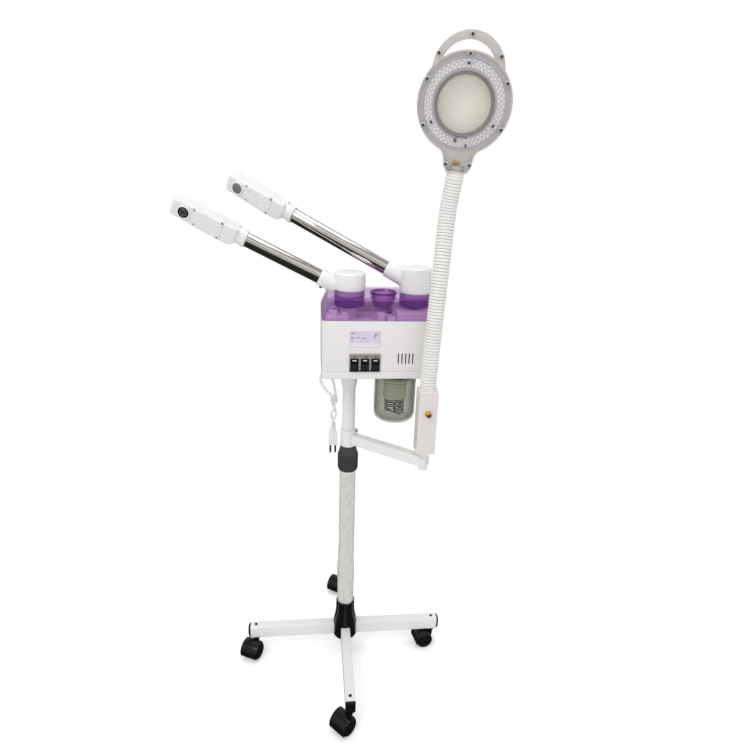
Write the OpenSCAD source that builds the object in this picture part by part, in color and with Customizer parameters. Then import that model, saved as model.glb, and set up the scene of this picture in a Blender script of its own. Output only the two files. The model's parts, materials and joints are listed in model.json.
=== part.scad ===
/* [Base] */
// Distance from the column axis to each caster stem
stem_radius = 200; // [190:1:210]
// Width of a leg tube
leg_w = 20; // [18:1:20]
// Height of a leg tube
leg_h = 30; // [29:1:30]
// Wall of a leg tube
leg_wall = 1.5; // [1.2:0.1:1.5]
// Height of the underside of the legs, which is the height of a caster
leg_z = 42; // [42:1:42]
// Radius of a caster wheel
wheel_r = 18; // [17.5:0.5:18]
// Offset of the wheel axle behind the stem
caster_trail = 18; // [17:0.5:18.5]
// Direction in which the front caster trails
trail_front = 224; // [0:1:360]
// Direction in which the right caster trails
trail_right = 192; // [0:1:360]
// Direction in which the rear caster trails
trail_rear = 238; // [0:1:360]
// Direction in which the left caster trails
trail_left = 244; // [0:1:360]

/* [Column] */
// Outside diameter of the lower column tube
lower_d = 32; // [32:0.5:32]
// Outside diameter of the upper column tube
upper_d = 25; // [25:0.5:25]
// Height of the top of the lower column tube
lower_top = 487; // [477:1:487]
// Height of the bottom end of the upper tube, inside the lower one
upper_bottom = 232; // [222:1:242]

/* [Steamer body] */
// Left side of the body
body_x0 = -55; // [-58:1:-52]
// Right side of the body
body_x1 = 153; // [151:1:155]
// Front face of the body
body_y0 = -80; // [-80:1:-80]
// Back face of the body
body_y1 = 70; // [66:1:74]
// Underside of the body
body_z = 687; // [687:1:687]
// Height of the parting line between bottom plate and shell
seam_z = 701; // [700:1:701]
// Top edge of the white shell
shell_top = 794; // [794:1:794]
// Flat top of the clear purple cover
cover_top = 828; // [827:1:829]
// Number of vent slots
vent_count = 5; // [3:1:6]

/* [Steam arms] */
// Elevation of both steam arms
arm_elev = 26; // [24:1:27]
// Compass direction of the left arm
arm_left_az = 178; // [170:1:186]
// Compass direction of the right arm
arm_right_az = 164; // [160:1:168]
// Outside diameter of a steam tube
steam_tube_d = 25.4; // [25.4:0.1:25.4]
// Length of bare tube on the left arm
bare_left = 140; // [130:1:150]
// Length of bare tube on the right arm
bare_right = 194; // [185:1:200]
// Length of a nozzle head with its collar
head_len = 131; // [126:1:134]
// Length of an elbow, from the cap's axis
elbow = 60; // [58:1:64]
// Angle by which the outlets face below the horizontal
nozzle_roll = 14; // [0:1:25]

/* [Lamp] */
// Radius of the round lamp head
lamp_r = 71.5; // [71:0.5:72]
// Radius of the visible lens opening
lens_r = 38.2; // [37:0.2:38.6]
// Outside diameter of the flexible neck
hose_d = 29; // [28:0.5:29]
// Distance between two neck pivots
neck_pitch = 95.3; // [93:0.1:96]
// Lean of the lamp head to the right
head_lean = 0.4; // [0:0.2:2]
// Forward tilt of the lamp head
head_tilt = 9; // [6:0.5:11]
// Turn of the lamp head about its own upright axis
head_yaw = -11; // [-14:1:-6]

/* [Hidden] */
$fn = 64;
eps = 0.1;

white = "white";
black = "#181818";
purple = "mediumpurple";
steel = "silver";

// ---------- helpers ----------
// Points of a rectangle between two corners, with rounded corners
function rr(x0, y0, x1, y1, r, n = 5) = [
    for (c = [[x1 - r, y1 - r, 0], [x0 + r, y1 - r, 90], [x0 + r, y0 + r, 180], [x1 - r, y0 + r, 270]])
        for (i = [0 : n]) [c[0] + r * cos(c[2] + 90 * i / n), c[1] + r * sin(c[2] + 90 * i / n)]];
module prism(x0, y0, x1, y1, r, z0, z1) {
    translate([0, 0, z0]) linear_extrude(z1 - z0) polygon(rr(x0, y0, x1, y1, r));
}
// A bar of rounded section along +X
module bar(w, h, r, x0, x1, zc) {
    translate([x0, 0, zc]) rotate([90, 0, 90]) linear_extrude(x1 - x0) polygon(rr(-w / 2, -h / 2, w / 2, h / 2, r));
}
module tube(r, ri, z0, z1) {
    translate([0, 0, z0]) difference() {
        cylinder(r = r, h = z1 - z0);
        translate([0, 0, -1]) cylinder(r = ri, h = z1 - z0 + 2);
    }
}

// ---------- base ----------
leg_zc = leg_z + leg_h / 2;
module base_hub() {
    color(black) difference() {
        union() {
            difference() {
                rotate_extrude() polygon([[0, 38], [24.5, 38], [26.8, 41], [26.8, 62], [26.2, 72], [24.6, 82],
                    [22.4, 93], [20.8, 104], [20.3, 112], [20.2, 130], [19.5, 131], [0, 131]]);
                for (a = [0 : 90 : 270]) rotate([0, 0, a]) translate([19.4, -leg_w / 2 - eps, leg_z - eps])
                    cube([20, leg_w + 2 * eps, leg_h + 2 * eps]);
            }
            for (a = [0 : 90 : 270]) rotate([0, 0, a])
                bar(leg_w - 2 * leg_wall - 0.2, leg_h - 2 * leg_wall - 0.2, 1.2, 18, 60, leg_zc);
        }
        translate([0, 0, 44]) cylinder(r = lower_d / 2 + 0.08, h = 100);
    }
}
module base_legs() {
    color(white) for (a = [0 : 90 : 270]) rotate([0, 0, a]) difference() {
        bar(leg_w, leg_h, 3, 19.5, stem_radius + 12, leg_zc);
        bar(leg_w - 2 * leg_wall, leg_h - 2 * leg_wall, 1.5, 18, stem_radius + 13, leg_zc);
        translate([stem_radius, 0, leg_z - 1]) cylinder(r = 5, h = 6);
        translate([stem_radius, 0, leg_z + leg_h - 4]) cylinder(r = 1.9, h = 6);
    }
}
module leg_end_caps() {
    color(black) for (a = [0 : 90 : 270]) rotate([0, 0, a]) difference() {
        union() {
            bar(leg_w - 2 * leg_wall - 0.2, leg_h - 2 * leg_wall - 0.2, 1.4, stem_radius - 14, stem_radius + 13, leg_zc);
            bar(leg_w, leg_h, 3, stem_radius + 12.1, stem_radius + 14.6, leg_zc);
            bar(leg_w - 3, leg_h - 3, 3, stem_radius + 14, stem_radius + 16.6, leg_zc);
        }
        translate([stem_radius, 0, leg_z - 1]) cylinder(r = 4.08, h = 20.5);
        translate([stem_radius, 0, leg_z + leg_h - 6]) cylinder(r = 1.6, h = 8);
    }
}
module leg_screws() {
    color(black) for (a = [0 : 90 : 270]) rotate([0, 0, a]) translate([stem_radius, 0, 0]) {
        translate([0, 0, leg_z + leg_h - 5]) cylinder(r = 1.5, h = 5.5);
        translate([0, 0, leg_z + leg_h + 0.1]) cylinder(r = 3.2, h = 1.5);
    }
}
module caster_stems() {
    color(steel) for (a = [0 : 90 : 270]) rotate([0, 0, a]) translate([stem_radius, 0, 0]) {
        translate([0, 0, 23]) cylinder(r = 4, h = 37);
        translate([0, 0, leg_z - 1.8]) cylinder(r = 6.5, h = 1.7);
    }
}
module caster_frame(a, trail) {
    translate([stem_radius * cos(a), stem_radius * sin(a), 0]) rotate([0, 0, trail]) children();
}
module caster_housing(a, trail) {
    color(black) caster_frame(a, trail) {
        difference() {
            union() {
                translate([caster_trail, 0, wheel_r]) rotate([90, 0, 0]) {
                    linear_extrude(39.6, center = true) difference() {
                        circle(r = wheel_r + 2.8);
                        circle(r = wheel_r + 1);
                        polygon(concat([[0, 0]], [for (t = [128 : 52 : 336]) [60 * cos(t), 60 * sin(t)]]));
                    }
                    linear_extrude(12, center = true) intersection() {
                        circle(r = wheel_r + 1.9);
                        translate([-40, -5]) square([80, 60]);
                    }
                }
                translate([0, 0, 21]) cylinder(r = 5.7, h = 18);
                translate([0, 0, 36.4]) cylinder(r = 8.6, h = 3.6);
            }
            translate([0, 0, 22]) cylinder(r = 4.08, h = 40);
            translate([caster_trail, 30, wheel_r]) rotate([90, 0, 0]) cylinder(r = 2.55, h = 60);
        }
        translate([caster_trail, 17, wheel_r]) rotate([90, 0, 0]) cylinder(r = 2.5, h = 34);
    }
}
module caster_wheel(a, trail, side) {
    color(black) caster_frame(a, trail) translate([caster_trail, 0, wheel_r]) rotate([-90 * side, 0, 0])
        rotate_extrude() polygon([[2.58, 6.4], [wheel_r - 1.5, 6.4], [wheel_r, 7.9], [wheel_r, 17], [wheel_r - 2, 19],
            [wheel_r - 4, 19], [wheel_r - 5, 17.6], [6, 17.6], [4.6, 18.6], [2.58, 18.6]]);
}

// ---------- column ----------
module lower_column_tube() {
    color(white) tube(lower_d / 2, lower_d / 2 - 2, 44.05, lower_top);
}
module collet_sleeve() {
    color(black) {
        difference() {
            union() {
                translate([0, 0, lower_top - 55]) cylinder(r = lower_d / 2 - 2.05, h = 60);
                translate([0, 0, lower_top + 0.1]) cylinder(r = lower_d / 2 - 0.1, h = 2.9);
                translate([0, 0, lower_top]) cylinder(r = 14.4, h = 15);
            }
            translate([0, 0, lower_top - 60]) cylinder(r = upper_d / 2 + 0.08, h = 90);
        }
    }
}
module locking_collar() {
    color("#404040") difference() {
        union() {
            rotate_extrude() polygon([[0, 463], [18.2, 463], [19, 464], [19, 502], [18, 504], [15, 517], [0, 517]]);
            for (i = [0 : 17]) rotate([0, 0, 20 * i]) translate([19, 0, 465]) cylinder(r = 1.5, h = 36, $fn = 24);
        }
        translate([0, 0, 462]) cylinder(r = lower_d / 2 + 0.15, h = 28.5);
        translate([0, 0, 482]) cylinder(r = 14.6, h = 21);
        translate([0, 0, 482]) cylinder(r = upper_d / 2 + 0.3, h = 40);
    }
}
module upper_column_tube() {
    color(white) tube(upper_d / 2, upper_d / 2 - 1.5, upper_bottom, body_z - 2);
}
module column_socket() {
    color(white) difference() {
        rotate_extrude() polygon([[0, 646], [14.2, 646], [15, 654], [16.5, 668], [18.6, 678], [19.6, 686.9], [0, 686.9]]);
        translate([0, 0, 642]) cylinder(r = upper_d / 2 + 0.08, h = 43.2);
    }
}

// ---------- steamer body ----------
jar_x = 87;
jar_y = -20;
cup_x = [-4, 115.5];
cup_y = -18;
cup_rim = [837, 833];
fun_x = 58;
stem_dx = 12;
panel_x = 21.75;
rocker_z = 715.5;
rocker_pitch = 18.7;

module bottom_plate() {
    color(white) difference() {
        prism(body_x0, body_y0, body_x1, body_y1, 9, body_z, seam_z);
        prism(body_x0 + 2.5, body_y0 + 2.5, body_x1 - 2.5, body_y1 - 2.5, 6.5, body_z + 3, seam_z + 1);
        translate([jar_x, jar_y, body_z - 1]) cylinder(r = 44, h = 10);
    }
}
module housing_shell() {
    color(white) difference() {
        union() {
            difference() {
                prism(body_x0, body_y0, body_x1, body_y1, 9, seam_z + 0.2, shell_top);
                prism(body_x0 + 2.5, body_y0 + 2.5, body_x1 - 2.5, body_y1 - 2.5, 6.5, seam_z - 1, shell_top - 8);
                prism(body_x0 + 2.5, body_y0 + 2.5, body_x1 - 2.5, body_y1 - 2.5, 6.5, shell_top - 5, shell_top + 1);
            }
            for (x = cup_x) translate([x, cup_y, shell_top - 6]) cylinder(r = 15, h = 19.4);
            translate([fun_x + stem_dx, cup_y, shell_top - 6]) cylinder(r = 9.5, h = 7);
            translate([body_x0 + 8, body_y0 + 9, shell_top - 6]) cube([36, 26, 11]);
            translate([body_x1 - 70, body_y0 + 10, shell_top - 6]) cube([58, 24, 9]);
        }
        for (x = cup_x) translate([x, cup_y, shell_top - 12]) cylinder(r = 8, h = 40);
        translate([fun_x + stem_dx, cup_y, shell_top - 12]) cylinder(r = 6.6, h = 20);
        translate([panel_x - 25, body_y0 - 1, rocker_z - 10.5]) cube([50, 6, 21]);
        for (i = [0 : vent_count - 1]) translate([80.5 + i * 6.5, body_y0 - 1, 716]) cube([2.2, 6, 19.5]);
    }
}
module top_cover() {
    color(purple, 0.6) difference() {
        union() {
            difference() {
                hull() {
                    prism(body_x0, body_y0, body_x1, body_y1, 9, shell_top + 0.1, shell_top + 3);
                    prism(body_x0 + 13, body_y0 + 25, body_x1 - 13, body_y1 - 8, 12, cover_top - 1, cover_top);
                }
                hull() {
                    prism(body_x0 + 2.4, body_y0 + 2.4, body_x1 - 2.4, body_y1 - 2.4, 7, shell_top - 1, shell_top + 2);
                    prism(body_x0 + 15.4, body_y0 + 27.4, body_x1 - 15.4, body_y1 - 10.4, 10, cover_top - 3, cover_top - 2.4);
                }
            }
            for (i = [0, 1]) translate([cup_x[i], cup_y, 808]) cylinder(r = 28, h = cup_rim[i] - 808);
        }
        for (i = [0, 1]) translate([cup_x[i], cup_y, 0]) {
            translate([0, 0, 810.5]) cylinder(r = 25.5, h = 40);
            translate([0, 0, 802]) cylinder(r = 8, h = 20);
        }
        translate([fun_x, cup_y, 812]) cylinder(r = 22.8, h = 40);
    }
}
module switch_panel() {
    color("#9a9a9e") difference() {
        translate([0, body_y0 - 0.05, 0]) rotate([90, 0, 0]) linear_extrude(2.5)
            polygon(rr(-6, seam_z + 1, 49.5, 735, 1.5));
        for (i = [-1 : 1]) translate([panel_x + i * rocker_pitch - 5.9, body_y0 - 5, rocker_z - 9.95]) cube([11.8, 10, 19.9]);
    }
}
module rocker(i) {
    color(black) translate([panel_x + (i - 2) * rocker_pitch, body_y0 - 0.5, rocker_z]) rotate([-7, 0, 0])
        translate([-5.7, 0, 0]) rotate([90, 0, 90]) linear_extrude(11.4)
            polygon([[-3.7, 9.3], [-2.3, 0.6], [-2.3, -0.6], [-3.7, -9.3], [1, -8.8], [6.5, -4.4], [6.5, 4.4], [1, 8.8]]);
}
module control_board() {
    color("darkgreen") translate([-42, 4, 710]) cube([84, 56, 1.6]);
    color("dimgray") {
        translate([-38, 30, 711.7]) cube([34, 26, 26]);
        translate([8, 34, 711.7]) cube([14, 18, 16]);
    }
}
module ozone_lamp() {
    color("lightblue") translate([-22, 34, 760]) rotate([0, 90, 0]) {
        cylinder(r = 7, h = 52);
        translate([0, 0, -9.9]) cylinder(r = 9, h = 10);
    }
}
module boiler_head() {
    color("#d8d8d8") translate([jar_x, jar_y, 0]) difference() {
        union() {
            translate([0, 0, 672]) cylinder(r = 36, h = 20);
            translate([0, 0, 690.2]) cylinder(r = 48, h = 5);
            translate([0, 0, 630]) cylinder(r = 22, h = 44);
            translate([0, 0, 692]) cylinder(r = 10, h = 92);
        }
        translate([0, 0, 622]) cylinder(r = 20, h = 50);
        translate([0, 0, 662]) cylinder(r = 8, h = 130);
    }
}
module heater_element() {
    color(steel) translate([jar_x, jar_y, 0]) {
        for (z = [602, 610.5, 619]) translate([0, 0, z]) rotate_extrude() translate([17, 0]) circle(r = 2.8, $fn = 32);
        for (s = [-1, 1]) translate([17 * s, 0, 602]) cylinder(r = 2, h = 69.8);
    }
}
module jar() {
    color("gray", 0.4) translate([jar_x, jar_y, 0]) rotate_extrude()
        polygon([[0, 587], [27, 587], [34, 589.5], [38, 594], [39.5, 600], [39.5, 682], [41.4, 682], [41.4, 685], [37, 685],
            [37, 601], [35.6, 596], [32.4, 592], [26.4, 590], [0, 590]]);
}
module jar_ring() {
    color(black) translate([jar_x, jar_y, 0]) difference() {
        union() {
            translate([0, 0, 679]) cylinder(r = 43.4, h = 7.6);
            rotate([0, 0, 12]) translate([40, -7, 679.5]) cube([13, 14, 6.5]);
        }
        translate([0, 0, 672]) cylinder(r = 39.7, h = 20);
        translate([0, 0, 681.7]) cylinder(r = 41.6, h = 10);
    }
}
module funnel() {
    color(purple, 0.7) translate([fun_x, cup_y, 0]) difference() {
        union() {
            rotate_extrude() polygon([[0, 800], [9, 800], [14, 803], [19, 811], [21.6, 821], [22.2, 830], [24.6, 832], [25, 835.5], [0, 835.5]]);
            translate([stem_dx, 0, 783]) cylinder(r = 6, h = 26);
        }
        rotate_extrude() polygon([[0, 802], [8.2, 802], [12.6, 804.6], [17.2, 812], [19.8, 821.5], [20.4, 830.6], [22.8, 833.5], [23, 836], [0, 836]]);
        translate([stem_dx, 0, 782]) cylinder(r = 4, h = 40);
    }
}
// Path of the bundled cord: a loose loop beside the socket, then the tied run down to the plug
function cord_loop(t) = [-40 - 9 * sin(180 * t) + 12 * t, 12 - 10 * t, 684.1 - 65.1 * t];
function cord_run(t) = [-28 - 4 * sin(540 * t), 2 + 3 * sin(360 * t), 619 - 64 * t];
module cord_piece(p, q, r) {
    hull() {
        translate(p) sphere(r = r, $fn = 12);
        translate(q) sphere(r = r, $fn = 12);
    }
}
module power_cord() {
    color(white) {
        for (i = [0 : 7]) cord_piece(cord_loop(i / 8), cord_loop((i + 1) / 8), 2.8);
        for (i = [0 : 5]) cord_piece(cord_run(i / 6), cord_run((i + 1) / 6), 2.8);
        translate([-31, 0, 0]) prism(-8.5, -7, 8.5, 7, 3, 519, 557);
        for (s = [-1, 1]) translate([-32 + 5 * s, 0, 501]) cylinder(r = 2, h = 20, $fn = 24);
    }
}

// ---------- steam arms ----------
arm_z = [833.5, 848.5];
bare = [bare_left, bare_right];
steam_r = steam_tube_d / 2;
function tube_end(k) = elbow + bare[k];
cap_top = [869, 880];
cap_bot = [838.5, 834.5];
arm_az = [arm_left_az, arm_right_az];
module arm_frame(k) {
    translate([cup_x[k], cup_y, arm_z[k]]) rotate([0, -arm_elev, arm_az[k]]) children();
}
module nozzle_frame(k) {
    arm_frame(k) rotate([-nozzle_roll, 0, 0]) children();
}
// A cylinder along the arm
module rod(r, x0, x1) {
    translate([x0, 0, 0]) rotate([0, 90, 0]) cylinder(r = r, h = x1 - x0);
}
module arm_base(k) {
    color(white) difference() {
        union() {
            translate([cup_x[k], cup_y, 0]) rotate_extrude() polygon([[0, 814], [25.42, 814], [25.42, cap_bot[k]], [28.5, cap_bot[k]],
                [28.5, cap_top[k] - 3.5], [27.4, cap_top[k] - 1], [25.2, cap_top[k]], [0, cap_top[k]]]);
            difference() {
                arm_frame(k) rod(15.5, 8, elbow);
                translate([cup_x[k], cup_y, cap_bot[k] - 50]) cylinder(r = 30.5, h = 50);
            }
        }
        translate([cup_x[k], cup_y, 807]) cylinder(r = 22.8, h = cap_top[k] - 811);
        arm_frame(k) rod(steam_r + 0.05, 14, elbow + 4);
    }
}
module arm_tube(k) {
    color(steel) arm_frame(k) difference() {
        rod(steam_r, elbow - 25, tube_end(k) + 12);
        rod(steam_r - 1, elbow - 27, tube_end(k) + 14);
    }
}
module arm_nozzle(k) {
    te = tube_end(k);
    tip = te + head_len;
    color(white) nozzle_frame(k) difference() {
        union() {
            rod(15.4, te, te + 18);
            intersection() {
                translate([te, 0, 0]) rotate([90, 0, 90]) linear_extrude(head_len + 2) polygon(rr(-16, -18.5, 16, 14, 5));
                translate([0, 18, 0]) rotate([90, 0, 0]) linear_extrude(36) polygon([[te + 16, -12], [te + 21, -17],
                    [te + 28, -18.7], [te + 46, -18.7], [tip - 14, -14.5], [tip - 3, -11], [tip, -6], [tip - 1, 10],
                    [tip - 4, 13], [tip - 10, 14.2], [te + 18, 14.2], [te + 16, 12]]);
            }
            translate([tip - 22, 15, 0]) rotate([-90, 0, 0]) cylinder(r = 10, h = 3.2);
        }
        rod(steam_r + 0.08, te - 1, te + 13);
        rod(11.5, te - 1, tip - 34);
        translate([tip - 22, 3, 0]) rotate([-90, 0, 0]) cylinder(r = 8.1, h = 20);
        rod(7, tip - 36, tip - 22);
    }
}
module arm_outlet(k) {
    te = tube_end(k);
    color("gray") nozzle_frame(k) translate([te + head_len - 22, 0, 0]) rotate([-90, 0, 0]) difference() {
        translate([0, 0, 7.5]) cylinder(r = 8, h = 10.5);
        translate([0, 0, 6]) cylinder(r = 4, h = 14);
    }
}

// ---------- lamp ----------
pin_x = 133.5;
pin_y = -105;
arm_dir = atan2(pin_y, pin_x);
arm_len = norm([pin_x, pin_y]);
box_z0 = 555.5;
box_z1 = 676.5;
hose_r = hose_d / 2;
leans = [0, 2.6, 4, 5.4, 5];
tilts = [0, -1.6, -5.9, -9.5, head_tilt];
gap = 6.4;
p1 = [pin_x, pin_y, box_z1 + 20];
function along(i) = [cos(tilts[i]) * sin(leans[i]), -sin(tilts[i]), cos(tilts[i]) * cos(leans[i])];
p2 = p1 + neck_pitch * along(1);
p3 = p2 + neck_pitch * along(2);
p4 = p3 + neck_pitch * along(3);
p5 = p4 + 68 * along(4);
module lamp_bracket() {
    color(white) difference() {
        union() {
            translate([0, 0, 518]) cylinder(r = 15.5, h = 35);
            rotate([0, 0, arm_dir]) difference() {
                bar(20, 20, 2.5, 10, arm_len, 534);
                bar(17, 17, 1.5, 17, arm_len + 1, 534);
            }
            translate([pin_x, pin_y, 517]) cylinder(r = 8.2, h = 38);
        }
        translate([0, 0, 512]) cylinder(r = upper_d / 2 + 0.08, h = 50);
        translate([pin_x, pin_y, 512]) cylinder(r = 5.08, h = 50);
        translate([10, 0, 548.5]) rotate([0, 90, 0]) cylinder(r = 2, h = 10);
    }
}
module bracket_screw() {
    color(black) translate([0, 0, 548.5]) rotate([0, 90, 0]) {
        translate([0, 0, 12.7]) cylinder(r = 1.9, h = 4);
        translate([0, 0, 15.6]) cylinder(r = 3.2, h = 2.6);
    }
}
module lamp_box() {
    color(white) {
        difference() {
            prism(pin_x - 17, pin_y - 17, pin_x + 17, pin_y + 17, 2, box_z0, box_z1);
            prism(pin_x - 15, pin_y - 15, pin_x + 15, pin_y + 15, 1.5, box_z0 + 2, box_z1 - 2);
            translate([pin_x, pin_y - 10, 636]) rotate([90, 0, 0]) cylinder(r = 4.1, h = 10);
        }
        translate([pin_x, pin_y, 519]) cylinder(r = 5, h = 38);
        difference() {
            translate([pin_x, pin_y, box_z1 - 1]) cylinder(r = hose_r, h = 21 - gap);
            translate(p1) sphere(r = 9.4);
        }
    }
}
module lamp_switch_bushing() {
    color("gold") translate([pin_x, pin_y - 8, 636]) rotate([90, 0, 0]) difference() {
        union() {
            cylinder(r = 4, h = 16.5);
            translate([0, 0, 9.1]) cylinder(r = 5.4, h = 2.4, $fn = 6);
            translate([0, 0, 11]) cylinder(r = 4.8, h = 5.5);
        }
        translate([0, 0, -1]) cylinder(r = 3.25, h = 20);
    }
}
module lamp_button() {
    color("darkred") translate([pin_x, pin_y - 12, 636]) rotate([90, 0, 0]) cylinder(r = 3.2, h = 17);
}
// One neck segment from pivot p to the next: a ball at its lower end and a seat at its upper end
module neck_segment(p, i) {
    color(white) translate(p) rotate([tilts[i], leans[i], 0]) difference() {
        union() {
            sphere(r = 9);
            translate([0, 0, gap]) cylinder(r = hose_r, h = neck_pitch - 2 * gap);
        }
        translate([0, 0, neck_pitch]) sphere(r = 9.4);
    }
}
module head_frame() {
    translate(p5) rotate([head_tilt, head_lean, 0]) rotate([0, 0, head_yaw]) translate([0, 0, 93]) children();
}
// Outline of the lamp head: disc, neck and carrying handle, in the plane of the lens
neck_outline = [[-44, -54], [-35, -59], [-28, -66], [-24, -74], [-22.6, -82], [-21.6, -90], [-16.4, -99], [16.4, -99], [21.6, -90],
    [22.6, -82], [24, -74], [28, -66], [35, -59], [44, -54]];
module head_outline() {
    circle(r = lamp_r);
    polygon(neck_outline);
    difference() {
        translate([0, 43]) circle(r = 53.8);
        translate([0, 43]) circle(r = 42.3);
        translate([-60, -40]) square([120, 62]);
    }
}
// Extrudes an outline from y = a to y = b of the head frame
module slab(a, b) {
    translate([0, b, 0]) rotate([90, 0, 0]) linear_extrude(b - a) children();
}
module lamp_head_back() {
    color(white) translate(p4) rotate([tilts[4], leans[4], 0]) {
        sphere(r = 9);
        translate([0, 0, gap]) cylinder(r = hose_r, h = 64);
    }
    color(white) head_frame() difference() {
        union() {
            slab(-10.9, 13) head_outline();
            hinge_at() for (x = [-9.6, 7.2]) translate([x, 0, 0]) rotate([0, 90, 0]) {
                cylinder(r = 3.4, h = 2.4);
                translate([-3.4, -5.5, 0]) cube([6.8, 5.5, 2.4]);
            }
            hinge_at() translate([-8.5, 0, 0]) rotate([0, 90, 0]) cylinder(r = 1.42, h = 17);
        }
        slab(-12, 10.5) difference() {
            circle(r = lamp_r - 2.5);
            circle(r = 47.8);
            for (p = rim_screw_at) translate(p) circle(r = 3.2, $fn = 32);
        }
        slab(-12, 14) circle(r = 45);
        slab(-12, -9.5) circle(r = 58);
        for (p = head_screw_at) slab(-12, -2) translate(p) circle(r = 1.3, $fn = 24);
    }
}
rim_screw_at = [for (a = [28, 90, 152, 208, 332]) [66.8 * cos(a), 66.8 * sin(a)]];
head_screw_at = concat([[0, 91], [-45, 65.2], [45, 65.2], [-18.6, -85], [18.6, -85]], rim_screw_at);
// Hinge line of the lens cap, on the back of the head
module hinge_at() {
    translate([0, 18, -54]) children();
}
module lamp_head_front() {
    color("lightgray", 0.4) difference() {
        head_frame() difference() {
            slab(-14, -11) head_outline();
            slab(-15, -10) circle(r = 45.2);
            for (p = head_screw_at) slab(-15, -10) translate(p) circle(r = 1.6, $fn = 24);
        }
        // notch for the end of the hose
        translate(p4) rotate([tilts[4], leans[4], 0]) cylinder(r = hose_r + 0.1, h = gap + 64.1);
    }
}
module head_screws() {
    color("dimgray") head_frame() for (p = head_screw_at) {
        slab(-14.2, -5) translate(p) circle(r = 1.2, $fn = 24);
        slab(-15.2, -14.1) translate(p) circle(r = 2.8, $fn = 24);
    }
}
module lens_bezel() {
    color("gray") head_frame() rotate([-90, 0, 0]) {
        rotate_extrude() polygon([[lens_r, -4.5], [lens_r + 1.2, -6.5], [43.3, -14.6], [44.9, -14.6], [44.9, 5], [41.3, 5], [41.3, -4.5]]);
    }
}
module lens() {
    color("azure", 0.4) head_frame() rotate([-90, 0, 0]) rotate_extrude()
        polygon(concat([for (i = [0 : 8]) [41.1 * i / 8, -3.9 + 3 * (i / 8) * (i / 8)]], [for (i = [8 : -1 : 0]) [41.1 * i / 8, 4.9 - 3 * (i / 8) * (i / 8)]]));
}
module led_board() {
    color("whitesmoke") head_frame() difference() {
        slab(-4.9, -3.3) circle(r = 61.6);
        slab(-6, -2) circle(r = 48);
    }
}
module lens_cap() {
    color("ivory") head_frame() {
        difference() {
            union() {
                slab(13.3, 16.3) circle(r = 47);
                slab(13.3, 16.3) translate([-7, -54]) square([14, 12]);
                hinge_at() translate([-7, 0, 0]) rotate([0, 90, 0]) cylinder(r = 3.4, h = 14);
            }
            hinge_at() translate([-10, 0, 0]) rotate([0, 90, 0]) cylinder(r = 1.5, h = 20);
        }
    }
}

base_hub();
base_legs();
leg_end_caps();
leg_screws();
caster_stems();
caster_housing(270, trail_front);  // caster_front_housing
caster_wheel(270, trail_front, 1);  // caster_front_wheel_a
caster_wheel(270, trail_front, -1);  // caster_front_wheel_b
caster_housing(0, trail_right);  // caster_right_housing
caster_wheel(0, trail_right, 1);  // caster_right_wheel_a
caster_wheel(0, trail_right, -1);  // caster_right_wheel_b
caster_housing(90, trail_rear);  // caster_rear_housing
caster_wheel(90, trail_rear, 1);  // caster_rear_wheel_a
caster_wheel(90, trail_rear, -1);  // caster_rear_wheel_b
caster_housing(180, trail_left);  // caster_left_housing
caster_wheel(180, trail_left, 1);  // caster_left_wheel_a
caster_wheel(180, trail_left, -1);  // caster_left_wheel_b
lower_column_tube();
collet_sleeve();
locking_collar();
upper_column_tube();
column_socket();
bottom_plate();
housing_shell();
top_cover();
switch_panel();
rocker(1);  // rocker_1
rocker(2);  // rocker_2
rocker(3);  // rocker_3
control_board();
ozone_lamp();
boiler_head();
heater_element();
jar();
jar_ring();
funnel();
power_cord();
arm_base(0);  // arm_left_base
arm_tube(0);  // arm_left_tube
arm_nozzle(0);  // arm_left_nozzle
arm_outlet(0);  // arm_left_outlet
arm_base(1);  // arm_right_base
arm_tube(1);  // arm_right_tube
arm_nozzle(1);  // arm_right_nozzle
arm_outlet(1);  // arm_right_outlet
lamp_bracket();
bracket_screw();
lamp_box();
lamp_switch_bushing();
lamp_button();
neck_segment(p1, 1);  // neck_segment_1
neck_segment(p2, 2);  // neck_segment_2
neck_segment(p3, 3);  // neck_segment_3
lamp_head_back();
lamp_head_front();
lens_bezel();
lens();
led_board();
lens_cap();
head_screws();
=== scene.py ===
import json
import math
import random
import bpy
import bmesh
from mathutils import Matrix, Vector, noise
from mathutils.geometry import tessellate_polygon


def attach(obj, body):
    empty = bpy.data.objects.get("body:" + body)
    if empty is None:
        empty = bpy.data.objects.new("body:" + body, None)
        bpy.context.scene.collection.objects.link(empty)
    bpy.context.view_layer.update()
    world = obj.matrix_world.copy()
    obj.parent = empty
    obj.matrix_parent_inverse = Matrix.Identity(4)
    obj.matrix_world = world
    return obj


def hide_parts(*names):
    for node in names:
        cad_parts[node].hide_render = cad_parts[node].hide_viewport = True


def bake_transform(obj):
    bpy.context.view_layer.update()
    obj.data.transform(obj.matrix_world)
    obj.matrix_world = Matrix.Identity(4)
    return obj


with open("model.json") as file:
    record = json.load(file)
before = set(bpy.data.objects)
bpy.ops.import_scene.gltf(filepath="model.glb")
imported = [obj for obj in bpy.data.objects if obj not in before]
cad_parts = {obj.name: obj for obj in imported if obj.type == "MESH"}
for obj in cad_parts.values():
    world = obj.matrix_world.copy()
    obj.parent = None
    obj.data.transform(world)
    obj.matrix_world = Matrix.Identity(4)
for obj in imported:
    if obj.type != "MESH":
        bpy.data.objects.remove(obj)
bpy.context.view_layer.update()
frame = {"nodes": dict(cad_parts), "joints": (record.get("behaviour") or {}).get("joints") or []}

random.seed(11)
MM = 0.001
JOINTS = {j["name"]: j for j in frame["joints"]} if isinstance(frame["joints"], list) else dict(frame["joints"])


# ------------------------------------------------------------------ helpers
def T(x, y, z):
    return Matrix.Translation((x, y, z))


def R(a, ax):
    return Matrix.Rotation(math.radians(a), 4, ax)


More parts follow.
